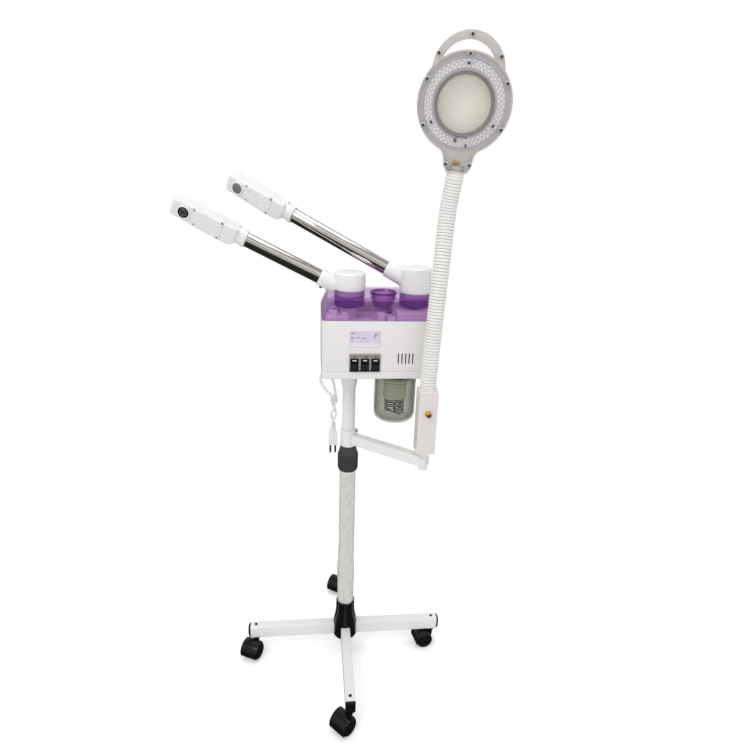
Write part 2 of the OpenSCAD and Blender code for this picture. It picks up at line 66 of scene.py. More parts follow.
def sub(p, q):
    return (p[0] - q[0], p[1] - q[1])


def fillet(pts, rad, seg=4):
    """A closed 2D polygon with its corners rounded. rad is one radius or a list of radii."""
    n = len(pts)
    out = []
    for i in range(n):
        r = rad[i] if isinstance(rad, (list, tuple)) else rad
        p = Vector(pts[i][:2]); a = Vector(pts[i - 1][:2]) - p; b = Vector(pts[(i + 1) % n][:2]) - p
        la, lb = a.length, b.length
        if r <= 0 or la < 1e-6 or lb < 1e-6:
            out.append((p.x, p.y)); continue
        a.normalize(); b.normalize()
        c = max(-1.0, min(1.0, a.dot(b)))
        ang = math.acos(c)
        if ang > math.radians(172) or ang < math.radians(4):
            out.append((p.x, p.y)); continue
        t = min(r / math.tan(ang / 2), 0.45 * la, 0.45 * lb)
        rr_ = t * math.tan(ang / 2)
        bis = (a + b).normalized()
        cen = p + bis * (rr_ / math.sin(ang / 2))
        s = p + a * t - cen; e = p + b * t - cen
        a0 = math.atan2(s.y, s.x); a1 = math.atan2(e.y, e.x)
        da = (a1 - a0 + math.pi) % (2 * math.pi) - math.pi
        for k in range(seg + 1):
            w = a0 + da * k / seg
            out.append((cen.x + rr_ * math.cos(w), cen.y + rr_ * math.sin(w)))
    return out


def rr(x0, y0, x1, y1, r, seg=6):
    return fillet([(x0, y0), (x1, y0), (x1, y1), (x0, y1)], r, seg)


def circ(r, n=72, cx=0.0, cy=0.0):
    return [(cx + r * math.cos(2 * math.pi * i / n), cy + r * math.sin(2 * math.pi * i / n)) for i in range(n)]


def area(loop):
    return 0.5 * sum(loop[i - 1][0] * loop[i][1] - loop[i][0] * loop[i - 1][1] for i in range(len(loop)))


def ccw(loop):
    return list(loop) if area(loop) > 0 else list(reversed(loop))


def inset(loop, d):
    """Moves each point of a counter-clockwise loop inwards by d."""
    n = len(loop); out = []
    for i in range(n):
        p = Vector(loop[i]); a = p - Vector(loop[i - 1]); b = Vector(loop[(i + 1) % n]) - p
        if a.length < 1e-9: a = b
        if b.length < 1e-9: b = a
        na = Vector((-a.y, a.x)).normalized(); nb = Vector((-b.y, b.x)).normalized()
        m = na + nb
        m = m.normalized() if m.length > 1e-6 else na
        k = max(0.45, m.dot(na))
        q = p + m * (d / k)
        out.append((q.x, q.y))
    return out


class Mesh:
    """Collects closed solids, in millimetres, for one piece."""
    def __init__(self):
        self.v = []; self.f = []; self.m = []

    def add(self, verts, faces, M=None, mi=0):
        o = len(self.v)
        for p in verts:
            self.v.append((M @ Vector(p)) if M is not None else Vector(p))
        for f in faces:
            self.f.append([o + i for i in f]); self.m.append(mi)

    # a solid of revolution about local Z; prof is a closed (r, z) polygon
    def lathe(self, prof, M=None, n=72, mi=0, mod=None, a0=0.0):
        verts = []; idx = []
        for j, (r, z) in enumerate(prof):
            if r < 1e-6:
                idx.append([len(verts)] * n); verts.append((0, 0, z))
            else:
                row = []
                for i in range(n):
                    t = a0 + 2 * math.pi * i / n
                    q = r + (mod(t, r, z) if mod else 0)
                    row.append(len(verts)); verts.append((q * math.cos(t), q * math.sin(t), z))
                idx.append(row)
        faces = []
        k = len(prof)
        for j in range(k):
            a, b = idx[j], idx[(j + 1) % k]
            if prof[j][0] < 1e-6 and prof[(j + 1) % k][0] < 1e-6:
                continue
            for i in range(n):
                i2 = (i + 1) % n
                f = [a[i], a[i2], b[i2], b[i]]
                g = []
                for x in f:
                    if x not in g: g.append(x)
                if len(g) > 2: faces.append(g)
        self.add(verts, faces, M, mi)

    # a flat plate with holes and rounded edges, from z0 to z1
    def plate(self, outer, holes, z0, z1, M=None, top=0.0, bot=0.0, seg=3, mi=0):
        loops = [ccw(outer)] + [ccw(h) for h in holes]
        levels = []
        if bot > 0:
            for k in range(seg + 1):
                w = math.pi / 2 * k / seg
                levels.append((z0 + bot * (1 - math.cos(w)), bot * (1 - math.sin(w))))
        else:
            levels.append((z0, 0.0))
        if top > 0:
            for k in range(seg + 1):
                w = math.pi / 2 * k / seg
                levels.append((z1 - top * (1 - math.sin(w)), top * (1 - math.cos(w))))
        else:
            levels.append((z1, 0.0))
        verts = []; faces = []; firsts = []; lasts = []
        for li, lp in enumerate(loops):
            rows = []
            for (z, d) in levels:
                l2 = inset(lp, d if li == 0 else -d) if d > 1e-9 else lp
                rows.append(list(range(len(verts), len(verts) + len(l2))))
                verts += [(p[0], p[1], z) for p in l2]
            n = len(lp)
            for a, b in zip(rows[:-1], rows[1:]):
                for i in range(n):
                    i2 = (i + 1) % n
                    faces.append([a[i], a[i2], b[i2], b[i]] if li == 0 else [a[i2], a[i], b[i], b[i2]])
            firsts.append(rows[0]); lasts.append(rows[-1])
        for rows, flip in ((firsts, True), (lasts, False)):
            flat = [i for r_ in rows for i in r_]
            tri = tessellate_polygon([[Vector((verts[i][0], verts[i][1], 0)) for i in r_] for r_ in rows])
            for t in tri:
                a, b, c = (flat[t[0]], flat[t[1]], flat[t[2]])
                ar = (verts[b][0] - verts[a][0]) * (verts[c][1] - verts[a][1]) - (verts[c][0] - verts[a][0]) * (verts[b][1] - verts[a][1])
                if (ar < 0) != flip: b, c = c, b
                faces.append([a, b, c])
        self.add(verts, faces, M, mi)

    # a stack of equal-length sections; each section is a list of 3D points
    def loft(self, secs, M=None, mi=0, cap=True, closed=False):
        verts = []; faces = []
        n = len(secs[0])
        for s in secs: verts += [tuple(p) for p in s]
        m = len(secs)
        for j in range(m - (0 if closed else 1)):
            for i in range(n):
                i2 = (i + 1) % n; j2 = (j + 1) % m
                faces.append([j * n + i, j * n + i2, j2 * n + i2, j2 * n + i])
        if cap and not closed:
            for base, rev in ((0, True), ((m - 1) * n, False)):
                c = len(verts)
                verts.append(tuple(sum(verts[base + i][k] for i in range(n)) / n for k in range(3)))
                for i in range(n):
                    f = [base + i, base + (i + 1) % n, c]
                    faces.append(list(reversed(f)) if rev else f)
        self.add(verts, faces, M, mi)

    # a round bar along a path; rad is a number or one radius per point
    def sweep(self, path, rad, n=16, M=None, mi=0, closed=False):
        pts = [Vector(p) for p in path]; m = len(pts); secs = []
        up = None
        for i in range(m):
            if closed: d = pts[(i + 1) % m] - pts[i - 1]
            else: d = pts[min(i + 1, m - 1)] - pts[max(i - 1, 0)]
            d.normalize()
            if up is None:
                up = Vector((0, 0, 1)) if abs(d.z) < 0.9 else Vector((1, 0, 0))
            up = (up - d * up.dot(d)).normalized(); sd = d.cross(up)
            r = rad[i] if isinstance(rad, (list, tuple)) else rad
            secs.append([pts[i] + (up * math.cos(2 * math.pi * k / n) + sd * math.sin(2 * math.pi * k / n)) * r for k in range(n)])
        self.loft(secs, M, mi, cap=not closed, closed=closed)

    def box(self, lo, hi, M=None, r=0.8, mi=0, seg=3):
        x0, y0, z0 = lo; x1, y1, z1 = hi
        self.plate(rr(x0, y0, x1, y1, r, seg + 1), [], z0, z1, M, top=r, bot=r, seg=seg, mi=mi)

    def build(self, name, mats, sharp=32):
        me = bpy.data.meshes.new(name)
        me.from_pydata([tuple(c * MM for c in v) for v in self.v], [], self.f)
        for m in mats: me.materials.append(m)
        me.polygons.foreach_set("material_index", self.m)
        bm = bmesh.new(); bm.from_mesh(me)
        bmesh.ops.remove_doubles(bm, verts=bm.verts, dist=2e-7)
        bmesh.ops.dissolve_degenerate(bm, edges=bm.edges, dist=1e-8)
        bmesh.ops.recalc_face_normals(bm, faces=bm.faces)
        bm.to_mesh(me); bm.free()
        me.polygons.foreach_set("use_smooth", [True] * len(me.polygons))
        me.set_sharp_from_angle(angle=math.radians(sharp))
        me.update()
        ob = bpy.data.objects.new(name, me)
        bpy.context.collection.objects.link(ob)
        return ob


def put(ob, body, nodes=()):
    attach(ob, body)
    if nodes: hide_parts(*nodes)
    return ob


def cut(ob, cutter):
    """Subtracts a Mesh from an object and applies the result."""
    c = cutter.build(ob.name + "_cut", [ob.data.materials[0]])
    m = ob.modifiers.new("cut", "BOOLEAN"); m.operation = "DIFFERENCE"; m.object = c; m.solver = "EXACT"
    dg = bpy.context.evaluated_depsgraph_get()
    me = bpy.data.meshes.new_from_object(ob.evaluated_get(dg))
    ob.modifiers.clear(); old = ob.data; ob.data = me; me.name = ob.name
    bpy.data.objects.remove(c, do_unlink=True)
    bm = bmesh.new(); bm.from_mesh(me)
    bmesh.ops.remove_doubles(bm, verts=bm.verts, dist=1e-6)
    bm.to_mesh(me); bm.free()
    me.polygons.foreach_set("use_smooth", [True] * len(me.polygons))
    me.set_sharp_from_angle(angle=math.radians(32))
    return ob


# ------------------------------------------------------------------ materials
def _base(name):
    m = bpy.data.materials.new(name); m.use_nodes = True
    nt = m.node_tree; nt.nodes.clear()
    out = nt.nodes.new("ShaderNodeOutputMaterial")
    return m, nt, out


def _n(nt, kind, **kw):
    n = nt.nodes.new(kind)
    for k, v in kw.items():
        if k in n.inputs: n.inputs[k].default_value = v
        else: setattr(n, k, v)
    return n


def solid(name, col, rough=0.4, metal=0.0, var=0.03, vscale=25, rvar=0.08, bump=0.05, bscale=900, coat=0.0, spec=0.5,
          col2=None, stretch=None, sss=0.0, emit=0.0, fine=0.0):
    """Painted or moulded surface: mottled colour, uneven gloss and a fine relief."""
    m, nt, out = _base(name)
    p = _n(nt, "ShaderNodeBsdfPrincipled")
    tc = _n(nt, "ShaderNodeTexCoord")
    src = tc.outputs["Object"]
    if stretch:
        mp = _n(nt, "ShaderNodeMapping"); mp.inputs["Scale"].default_value = stretch
        nt.links.new(src, mp.inputs["Vector"]); src = mp.outputs["Vector"]
    nz = _n(nt, "ShaderNodeTexNoise", Scale=vscale, Detail=5.0, Roughness=0.6); nt.links.new(src, nz.inputs["Vector"])
    mix = _n(nt, "ShaderNodeMix"); mix.data_type = "RGBA"
    c1 = [max(0, c * (1 - var)) for c in col[:3]] + [1]
    c2 = [min(1, c * (1 + var)) for c in (col2 or col)[:3]] + [1]
    mix.inputs[6].default_value = c1; mix.inputs[7].default_value = c2
    nt.links.new(nz.outputs["Fac"], mix.inputs[0]); nt.links.new(mix.outputs[2], p.inputs["Base Color"])
    n2 = _n(nt, "ShaderNodeTexNoise", Scale=vscale * 4.3, Detail=4.0); nt.links.new(src, n2.inputs["Vector"])
    mr = _n(nt, "ShaderNodeMapRange"); mr.inputs["To Min"].default_value = max(0.02, rough - rvar); mr.inputs["To Max"].default_value = min(1, rough + rvar)
    nt.links.new(n2.outputs["Fac"], mr.inputs["Value"]); nt.links.new(mr.outputs["Result"], p.inputs["Roughness"])
    if bump > 0:
        n3 = _n(nt, "ShaderNodeTexNoise", Scale=bscale, Detail=3.0); nt.links.new(src, n3.inputs["Vector"])
        b = _n(nt, "ShaderNodeBump", Strength=bump, Distance=0.0006); nt.links.new(n3.outputs["Fac"], b.inputs["Height"])
        nt.links.new(b.outputs["Normal"], p.inputs["Normal"])
    p.inputs["Metallic"].default_value = metal
    p.inputs["Coat Weight"].default_value = coat; p.inputs["Coat Roughness"].default_value = 0.08
    p.inputs["Specular IOR Level"].default_value = spec
    if sss > 0:
        p.inputs["Subsurface Weight"].default_value = sss; p.inputs["Subsurface Radius"].default_value = (0.004, 0.003, 0.003)
    if emit > 0:
        p.inputs["Emission Color"].default_value = list(col[:3]) + [1]; p.inputs["Emission Strength"].default_value = emit
    nt.links.new(p.outputs["BSDF"], out.inputs["Surface"])
    m.diffuse_color = list(col[:3]) + [1]
    return m


def clear(name, tint, body, solidity=0.25, rough=0.08, edge=0.55, streak=0.0, spec=0.6, scale=38.0, stretch=(1, 1, 1), relief=0.12, coat=0.6):
    """Clear plastic or glass wall: light passes straight through and takes the tint; edges and faults are denser."""
    m, nt, out = _base(name)
    tr = _n(nt, "ShaderNodeBsdfTransparent"); tr.inputs["Color"].default_value = list(tint) + [1]
    p = _n(nt, "ShaderNodeBsdfPrincipled")
    p.inputs["Base Color"].default_value = list(body) + [1]
    p.inputs["Roughness"].default_value = rough; p.inputs["Specular IOR Level"].default_value = spec
    p.inputs["Coat Weight"].default_value = coat; p.inputs["Coat Roughness"].default_value = 0.05
    tc = _n(nt, "ShaderNodeTexCoord")
    mp = _n(nt, "ShaderNodeMapping"); mp.inputs["Scale"].default_value = stretch; nt.links.new(tc.outputs["Object"], mp.inputs["Vector"])
    nz = _n(nt, "ShaderNodeTexNoise", Scale=scale, Detail=4.0); nt.links.new(mp.outputs["Vector"], nz.inputs["Vector"])
    b = _n(nt, "ShaderNodeBump", Strength=relief, Distance=0.0008); nt.links.new(nz.outputs["Fac"], b.inputs["Height"])
    nt.links.new(b.outputs["Normal"], p.inputs["Normal"])
    lw = _n(nt, "ShaderNodeLayerWeight", Blend=0.35); nt.links.new(b.outputs["Normal"], lw.inputs["Normal"])
    ml = _n(nt, "ShaderNodeMath", operation="MULTIPLY_ADD"); ml.inputs[1].default_value = edge; ml.inputs[2].default_value = solidity
    nt.links.new(lw.outputs["Facing"], ml.inputs[0])
    ad = _n(nt, "ShaderNodeMath", operation="MULTIPLY_ADD"); ad.use_clamp = True
    ad.inputs[1].default_value = streak; nt.links.new(nz.outputs["Fac"], ad.inputs[0]); nt.links.new(ml.outputs[0], ad.inputs[2])
    mx = _n(nt, "ShaderNodeMixShader")
    nt.links.new(ad.outputs[0], mx.inputs[0]); nt.links.new(tr.outputs[0], mx.inputs[1]); nt.links.new(p.outputs[0], mx.inputs[2])
    nt.links.new(mx.outputs[0], out.inputs["Surface"])
    m.diffuse_color = list(body) + [0.5]
    return m


def chrome_mat(name):
    """Polished tube: long soft drawing lines along the tube and a faint haze."""
    m, nt, out = _base(name)
    p = _n(nt, "ShaderNodeBsdfPrincipled")
    p.inputs["Metallic"].default_value = 1.0
    tc = _n(nt, "ShaderNodeTexCoord")
    nz = _n(nt, "ShaderNodeTexNoise", Scale=60.0, Detail=6.0); nt.links.new(tc.outputs["Object"], nz.inputs["Vector"])
    mr = _n(nt, "ShaderNodeMapRange"); mr.inputs["To Min"].default_value = 0.05; mr.inputs["To Max"].default_value = 0.16
    nt.links.new(nz.outputs["Fac"], mr.inputs["Value"]); nt.links.new(mr.outputs["Result"], p.inputs["Roughness"])
    mix = _n(nt, "ShaderNodeMix"); mix.data_type = "RGBA"
    mix.inputs[6].default_value = (0.56, 0.54, 0.52, 1); mix.inputs[7].default_value = (0.70, 0.68, 0.66, 1)
    nt.links.new(nz.outputs["Fac"], mix.inputs[0]); nt.links.new(mix.outputs[2], p.inputs["Base Color"])
    b = _n(nt, "ShaderNodeBump", Strength=0.02, Distance=0.0003); nt.links.new(nz.outputs["Fac"], b.inputs["Height"])
    nt.links.new(b.outputs["Normal"], p.inputs["Normal"])
    nt.links.new(p.outputs[0], out.inputs["Surface"])
    return m


def grille_mat(name):
    """Fine woven screen of an outlet."""
    m, nt, out = _base(name)
    p = _n(nt, "ShaderNodeBsdfPrincipled"); p.inputs["Metallic"].default_value = 0.6; p.inputs["Roughness"].default_value = 0.5
    tc = _n(nt, "ShaderNodeTexCoord")
    vo = _n(nt, "ShaderNodeTexVoronoi", Scale=1300.0, Randomness=0.1); nt.links.new(tc.outputs["Object"], vo.inputs["Vector"])
    cr = _n(nt, "ShaderNodeValToRGB"); cr.color_ramp.elements[0].color = (0.03, 0.03, 0.03, 1); cr.color_ramp.elements[1].color = (0.30, 0.30, 0.30, 1)
    cr.color_ramp.elements[0].position = 0.2; cr.color_ramp.elements[1].position = 0.55
    nt.links.new(vo.outputs["Distance"], cr.inputs["Fac"]); nt.links.new(cr.outputs["Color"], p.inputs["Base Color"])
    nt.links.new(p.outputs[0], out.inputs["Surface"])
    return m


WHITE = solid("white_plastic", (0.765, 0.745, 0.74), rough=0.34, var=0.015, bump=0.02, bscale=1400, coat=0.25, sss=0.03)
WHITE_GLOSS = solid("white_gloss", (0.80, 0.795, 0.795), rough=0.28, rvar=0.03, var=0.012, bump=0.006, bscale=300, coat=0.25, sss=0.03)
HEAD_WHITE = solid("head_white", (0.735, 0.73, 0.72), rough=0.36, var=0.015, bump=0.015, bscale=700, coat=0.2, sss=0.03)
WHITE_PAINT = solid("white_paint", (0.78, 0.775, 0.76), rough=0.33, var=0.02, bump=0.05, bscale=620, coat=0.2)
PINK_WHITE = solid("bracket_paint", (0.73, 0.68, 0.66), rough=0.38, var=0.02, bump=0.05, bscale=620, coat=0.15)
HOSE = solid("hose_vinyl", (0.80, 0.795, 0.775), rough=0.42, var=0.02, bump=0.03, bscale=700, coat=0.15)
# darker colour for the hose valleys: painted shade in the creases between the ribs
HOSE_VALLEY_SHADE = solid("hose_valley_painted_shade", (0.50, 0.49, 0.44), rough=0.55, var=0.04, bump=0.05, bscale=700)
BLACK_GLOSS = solid("black_gloss", (0.0055, 0.0055, 0.006), rough=0.22, var=0.2, rvar=0.06, bump=0.05, bscale=800, coat=0.12, spec=0.22)
BLACK = solid("black_plastic", (0.007, 0.007, 0.0075), rough=0.42, var=0.25, bump=0.15, bscale=1500, spec=0.25)
TYRE = solid("black_tread", (0.006, 0.006, 0.006), rough=0.5, var=0.3, bump=0.2, bscale=700, spec=0.22)
GREY = solid("collar_grey", (0.046, 0.047, 0.044), rough=0.45, var=0.15, bump=0.2, bscale=1200, spec=0.35)
PANEL = solid("panel_silver", (0.40, 0.37, 0.355), rough=0.38, metal=0.4, var=0.12, vscale=60, bump=0.1, bscale=400, stretch=(0.25, 1, 12))
PURPLE = clear("purple_clear", (0.93, 0.82, 0.965), (0.22, 0.09, 0.30), solidity=0.015, rough=0.05, edge=0.5, streak=0.05, relief=0.06, coat=1.0)
# paler tint for the cup rims: painted light
PURPLE_CUP_LIT = clear("purple_cup_painted_light", (0.90, 0.77, 0.95), (0.24, 0.11, 0.33), solidity=0.04, rough=0.08, edge=0.4, streak=0.05)
FUNNEL = clear("purple_funnel", (0.875, 0.74, 0.915), (0.13, 0.035, 0.19), solidity=0.035, rough=0.04, edge=0.75, streak=0.05, relief=0.35, coat=1.0)
# darker, denser tint for the funnel's top rim: painted shade
FUNNEL_RIM_SHADE = clear("purple_rim_painted_shade", (0.66, 0.46, 0.76), (0.10, 0.02, 0.16), solidity=0.22, rough=0.04, edge=0.6, streak=0.05, coat=1.0)
# darker, denser tint for the lower part of the cups: painted shade
PURPLE_CUP_SHADE = clear("purple_cup_painted_shade", (0.80, 0.61, 0.88), (0.16, 0.055, 0.25), solidity=0.07, rough=0.09, edge=0.5, streak=0.08)
SMOKE = clear("smoke_clear", (0.865, 0.865, 0.845), (0.13, 0.13, 0.115), solidity=0.02, rough=0.05, edge=0.6, streak=0.03, coat=1.0)
COVER = clear("grey_clear", (0.975, 0.968, 0.962), (0.50, 0.46, 0.44), solidity=0.045, rough=0.12, edge=0.32, streak=0.08)
FILM = clear("wrinkled_film", (0.992, 0.992, 0.988), (0.80, 0.795, 0.775), solidity=-0.08, rough=0.12, edge=0.6, streak=0.34, scale=110.0,
             stretch=(1.8, 1.8, 0.4), relief=1.0, coat=1.0)
LENS = clear("lens_clear", (0.985, 0.985, 0.97), (0.7, 0.7, 0.68), solidity=0.02, rough=0.03, edge=0.2, streak=0.0)
CHROME = chrome_mat("chrome_tube")
STEEL = solid("bright_steel", (0.62, 0.62, 0.60), rough=0.22, metal=1.0, var=0.08, bump=0.06, bscale=400)
# the boiler head glows slightly though it is no lamp: painted light
BOILER_PAINTED_LIGHT = solid("boiler_head_grey_painted_light", (0.74, 0.745, 0.64), rough=0.35, metal=0.0, var=0.12, bump=0.06, bscale=400, coat=0.5, emit=0.03)
SCREW = solid("dark_screw", (0.06, 0.06, 0.062), rough=0.35, metal=0.7, var=0.2, bump=0.08, bscale=900)
WASHER = solid("washer_bright", (0.7, 0.69, 0.68), rough=0.25, metal=0.6, var=0.06, bump=0.03)
BRASS = solid("brass", (0.78, 0.50, 0.10), rough=0.26, metal=0.85, var=0.12, bump=0.06, bscale=700)
REDBUT = solid("button_brown", (0.11, 0.028, 0.010), rough=0.24, var=0.15, bump=0.03, coat=0.3)
# the LED board glows slightly though it is no lamp: painted light
LED_BOARD_PAINTED_LIGHT = solid("led_board", (0.68, 0.69, 0.79), rough=0.4, var=0.05, bump=0.08, bscale=900, emit=0.10)
LED = solid("led_chip", (0.93, 0.93, 0.70), rough=0.35, var=0.04, bump=0.02, emit=0.42)
BEZEL = solid("bezel_grey", (0.20, 0.195, 0.19), rough=0.3, var=0.05, bump=0.05, coat=0.3)
# the lens cap glows a little and carries large paler blotches: painted light, and painted reflections of the lens in
# front of it
IVORY_PAINTED_LIGHT = solid("ivory_cap_painted_light", (0.75, 0.70, 0.65), rough=0.34, var=0.08, vscale=26, bump=0.01, bscale=300, coat=0.3, col2=(0.83, 0.79, 0.75), emit=0.24)
LILAC = solid("label_lilac", (0.58, 0.50, 0.68), rough=0.35, var=0.14, vscale=90, bump=0.03, coat=0.3, col2=(0.70, 0.64, 0.76))
MARK = solid("mark_grey", (0.16, 0.14, 0.17), rough=0.5, var=0.2, bump=0.0)
MARK_W = solid("mark_white", (0.74, 0.72, 0.74), rough=0.5, var=0.05, bump=0.0)
CORD = solid("cord_white", (0.76, 0.75, 0.72), rough=0.5, var=0.04, bump=0.1, bscale=500)
GREEN = solid("board_green", (0.03, 0.16, 0.07), rough=0.45, var=0.15, bump=0.1)
SILV = solid("outlet_silver", (0.20, 0.205, 0.20), rough=0.4, metal=0.7, var=0.1, bump=0.05)
DARK = solid("outlet_dark", (0.008, 0.008, 0.009), rough=0.4, var=0.2, bump=0.05, spec=0.3)
GRILLE = grille_mat("outlet_screen")
QUARTZ = clear("quartz", (0.8, 0.85, 0.97), (0.6, 0.65, 0.8), solidity=0.1, rough=0.05, edge=0.4)

# ------------------------------------------------------------------ base
STEM_R = 200.0
ZX = R(90, "Z") @ R(90, "X")      # local z -> X, x -> Y, y -> Z
m = Mesh()
prof = fillet([(0, 38), (24.5, 38), (26.8, 41), (26.8, 62), (26.2, 72), (24.6, 82), (22.4, 93), (20.8, 104), (20.3, 112),
               (20.2, 130.4), (19.4, 131.2), (16.25, 131.2), (16.25, 44), (0, 44)], [0, 2, 3, 6, 8, 10, 14, 12, 8, .6, .6, .3, 0, 0], 4)
m.lathe(prof, n=128)
put(m.build("hub", [BLACK_GLOSS]), "base", ["base_hub"])

m = Mesh()
for a in range(0, 360, 90):
    m.plate(rr(-10, 42, 10, 72, 3, 5), [rr(-8.5, 43.5, 8.5, 70.5, 1.6, 4)], 22.0, 212.0, R(a, "Z") @ ZX, top=0.3, bot=0.3)
put(m.build("legs", [WHITE_PAINT]), "base", ["base_legs"])

m = Mesh()
for a in range(0, 360, 90):
    secs = []
    for x, d, r_ in ((196, 1.9, 1.4), (211.9, 1.9, 1.4), (212.05, 0.4, 3.0), (212.3, 0.05, 3.4), (213, -0.1, 4.5), (214, 0.1, 6.0), (215, 0.6, 7.4), (215.9, 1.4, 8.3), (216.6, 2.6, 8.2), (217.0, 4.2, 6.8), (217.15, 6.2, 4.6)):
        secs.append([(x, p[0], p[1]) for p in rr(-10 + d, 42 + d, 10 - d, 72 - d, min(r_, 9.7 - d), 6)])
    m.loft(secs, R(a, "Z"))
put(m.build("leg_plugs", [BLACK_GLOSS]), "base", ["leg_end_caps"])

m = Mesh()
for a in range(0, 360, 90):
    F = R(a, "Z") @ T(STEM_R, 0, 0)
    m.lathe(fillet([(0, 67), (1.5, 67), (1.5, 72.1), (3.3, 72.1), (3.3, 72.7), (2.2, 73.6), (1.5, 73.7), (1.3, 72.9), (0, 72.9)], [0, .1, .1, .2, .3, .5, .1, .1, 0], 3), F, n=32)
put(m.build("leg_top_screws", [BLACK]), "base", ["leg_screws"])

m = Mesh()
for a in range(0, 360, 90):
    F = R(a, "Z") @ T(STEM_R, 0, 0)
    m.lathe(fillet([(0, 23), (4, 23), (4, 40.2), (6.5, 40.2), (6.5, 41.8), (4, 41.8), (4, 60), (0, 60)], [0, .6, .2, .4, .4, .2, .8, 0], 3), F, n=40)
put(m.build("stems", [STEEL]), "base", ["caster_stems"])

# casters
WR, TR = 18.0, 18.0
for nm, az, tr in (("front", 270, 224), ("right", 0, 192), ("rear", 90, 238), ("left", 180, 244)):
    F = T(STEM_R * math.cos(math.radians(az)), STEM_R * math.sin(math.radians(az)), 0) @ R(tr, "Z")
    AX = F @ T(TR, 0, WR)
    m = Mesh()
    secs = []
    for k in range(41):          # hood over the wheels
        t = math.radians(-22 + 150 * k / 40)
        e = min(k, 40 - k)
        w = 19.7 - (0.9 if e == 0 else 0.3 if e == 1 else 0)
        sec = fillet([(WR + 1.05, -w), (WR + 2.9, -w + 0.2), (WR + 2.9, w - 0.2), (WR + 1.05, w)], [.3, 1.4, 1.4, .3], 4)
        secs.append([(q[0] * math.cos(t), q[1], q[0] * math.sin(t)) for q in sec])
    m.loft(secs, AX)
    # central web between the wheels
    web = [(19.9 * math.cos(math.radians(a)), 19.9 * math.sin(math.radians(a))) for a in range(-14, 195, 6)]
    m.plate(web, [], -5.9, 5.9, AX @ R(90, "X"), top=.6, bot=.6)
    m.lathe(fillet([(4.08, 21), (5.7, 21), (5.7, 35.5), (8.6, 36.6), (8.6, 39.9), (4.08, 39.9)], [0, .3, 2, .8, .8, .2], 4), F, n=48)
    m.lathe([(0, -17), (2.45, -17), (2.45, 17), (0, 17)], AX @ R(90, "X"), n=32)
    put(m.build("caster_%s_hood" % nm, [BLACK_GLOSS]), "caster_" + nm, ["caster_%s_housing" % nm])
    for s, sg in (("a", 1), ("b", -1)):
        m = Mesh()
        W = AX @ R(-90 * sg, "X")
        pr = fillet([(2.6, 6.5), (WR - 1.6, 6.5), (WR, 8.0), (WR, 17.0), (WR - 2.0, 19.0), (WR - 4.4, 19.0), (WR - 5.2, 17.8), (6.4, 17.8), (5.4, 18.5), (2.6, 18.5)],
                    [.2, .8, 1.6, 1.6, 1.4, .5, .4, .3, .4, .3], 4)
        m.lathe(pr, W, n=96, mod=lambda t, r, z: (-0.12 * (0.5 + 0.5 * math.cos(24 * t)) if 7 < r < WR - 5.5 else 0))
        m.lathe(fillet([(0, 18.0), (4.4, 18.0), (4.4, 19.1), (3.2, 19.6), (0, 19.7)], [0, .1, .4, .6, 0], 3), W, n=40, mi=1)
        put(m.build("caster_%s_tyre_%s" % (nm, s), [TYRE, BLACK_GLOSS]), "caster_%s_wheel_%s" % (nm, s), ["caster_%s_wheel_%s" % (nm, s)])

# ------------------------------------------------------------------ column
m = Mesh()
m.lathe(fillet([(14, 44.1), (16, 44.1), (16, 487), (14, 487)], [.2, .3, .6, .3], 3), n=96)
put(m.build("lower_tube", [WHITE_PAINT]), "base", ["lower_column_tube"])

# loose clear sleeve on the lower tube, creased and slacker towards the floor
m = Mesh()
rows = 150; seg = 96; prof_v = []
fv = []; ff = []
z0, z1 = 132.5, 458.0
for layer in (0, 1):
    for j in range(rows + 1):
        u = j / rows; z = z0 + (z1 - z0) * u
        slack = 0.35 + 2.7 * (1 - u) ** 2.0
        for i in range(seg):
            t = 2 * math.pi * i / seg
            v = Vector((math.cos(t) * 1.1, math.sin(t) * 1.1, z * 0.022))
            w = Vector((math.cos(t) * 2.3 + 5, math.sin(t) * 2.3, z * 0.07 + 1.4 * math.sin(t * 2)))
            d = max(0.0, noise.noise(v) * 1.0 + 0.35) * slack + abs(noise.noise(w)) * slack * 0.75
            r_ = 16.12 + d + (0.10 if layer == 0 else 0.0)
            fv.append((r_ * math.cos(t), r_ * math.sin(t), z))
n1 = (rows + 1) * seg
for j in range(rows):
    for i in range(seg):
        i2 = (i + 1) % seg
        a, b, c, d_ = j * seg + i, j * seg + i2, (j + 1) * seg + i2, (j + 1) * seg + i
        ff.append([a, b, c, d_]); ff.append([n1 + d_, n1 + c, n1 + b, n1 + a])
for i in range(seg):
    i2 = (i + 1) % seg
    ff.append([i2, i, n1 + i, n1 + i2]); o = rows * seg
    ff.append([o + i, o + i2, n1 + o + i2, n1 + o + i])
m.add(fv, ff)
ob = m.build("tube_film", [FILM], sharp=60)
put(ob, "base", [])

m = Mesh()
def ribs(t, r, z):
    if z < 465.5 or z > 501.5 or r < 18: return 0.0
    e = min(1.0, (z - 465.5) / 1.5, (501.5 - z) / 2.5)
    return 1.7 * e * max(0.0, math.cos(18 * t)) ** 0.7
pr = [(16.55, 463.2), (18.0, 463.2)]
pr = fillet([(16.55, 463.1), (18.4, 463.1), (19.1, 465), (19.1, 502.5), (17.9, 506), (15.2, 516.9), (12.85, 516.9), (12.85, 503.5), (14.75, 503.5), (14.75, 490.4), (16.55, 490.4)],
            [.3, .6, .8, 1.5, 2, .6, .3, 0, 0, 0, 0], 3)
pr2 = []
for i, p in enumerate(pr):
    q = pr[(i + 1) % len(pr)]
    pr2.append(p)
    if abs(p[0] - 19.1) < 0.05 and abs(q[0] - 19.1) < 0.05 and abs(q[1] - p[1]) > 10:
        for k in range(1, 24):
            pr2.append((19.1, p[1] + (q[1] - p[1]) * k / 24))
m.lathe(pr2, n=288, mod=ribs)
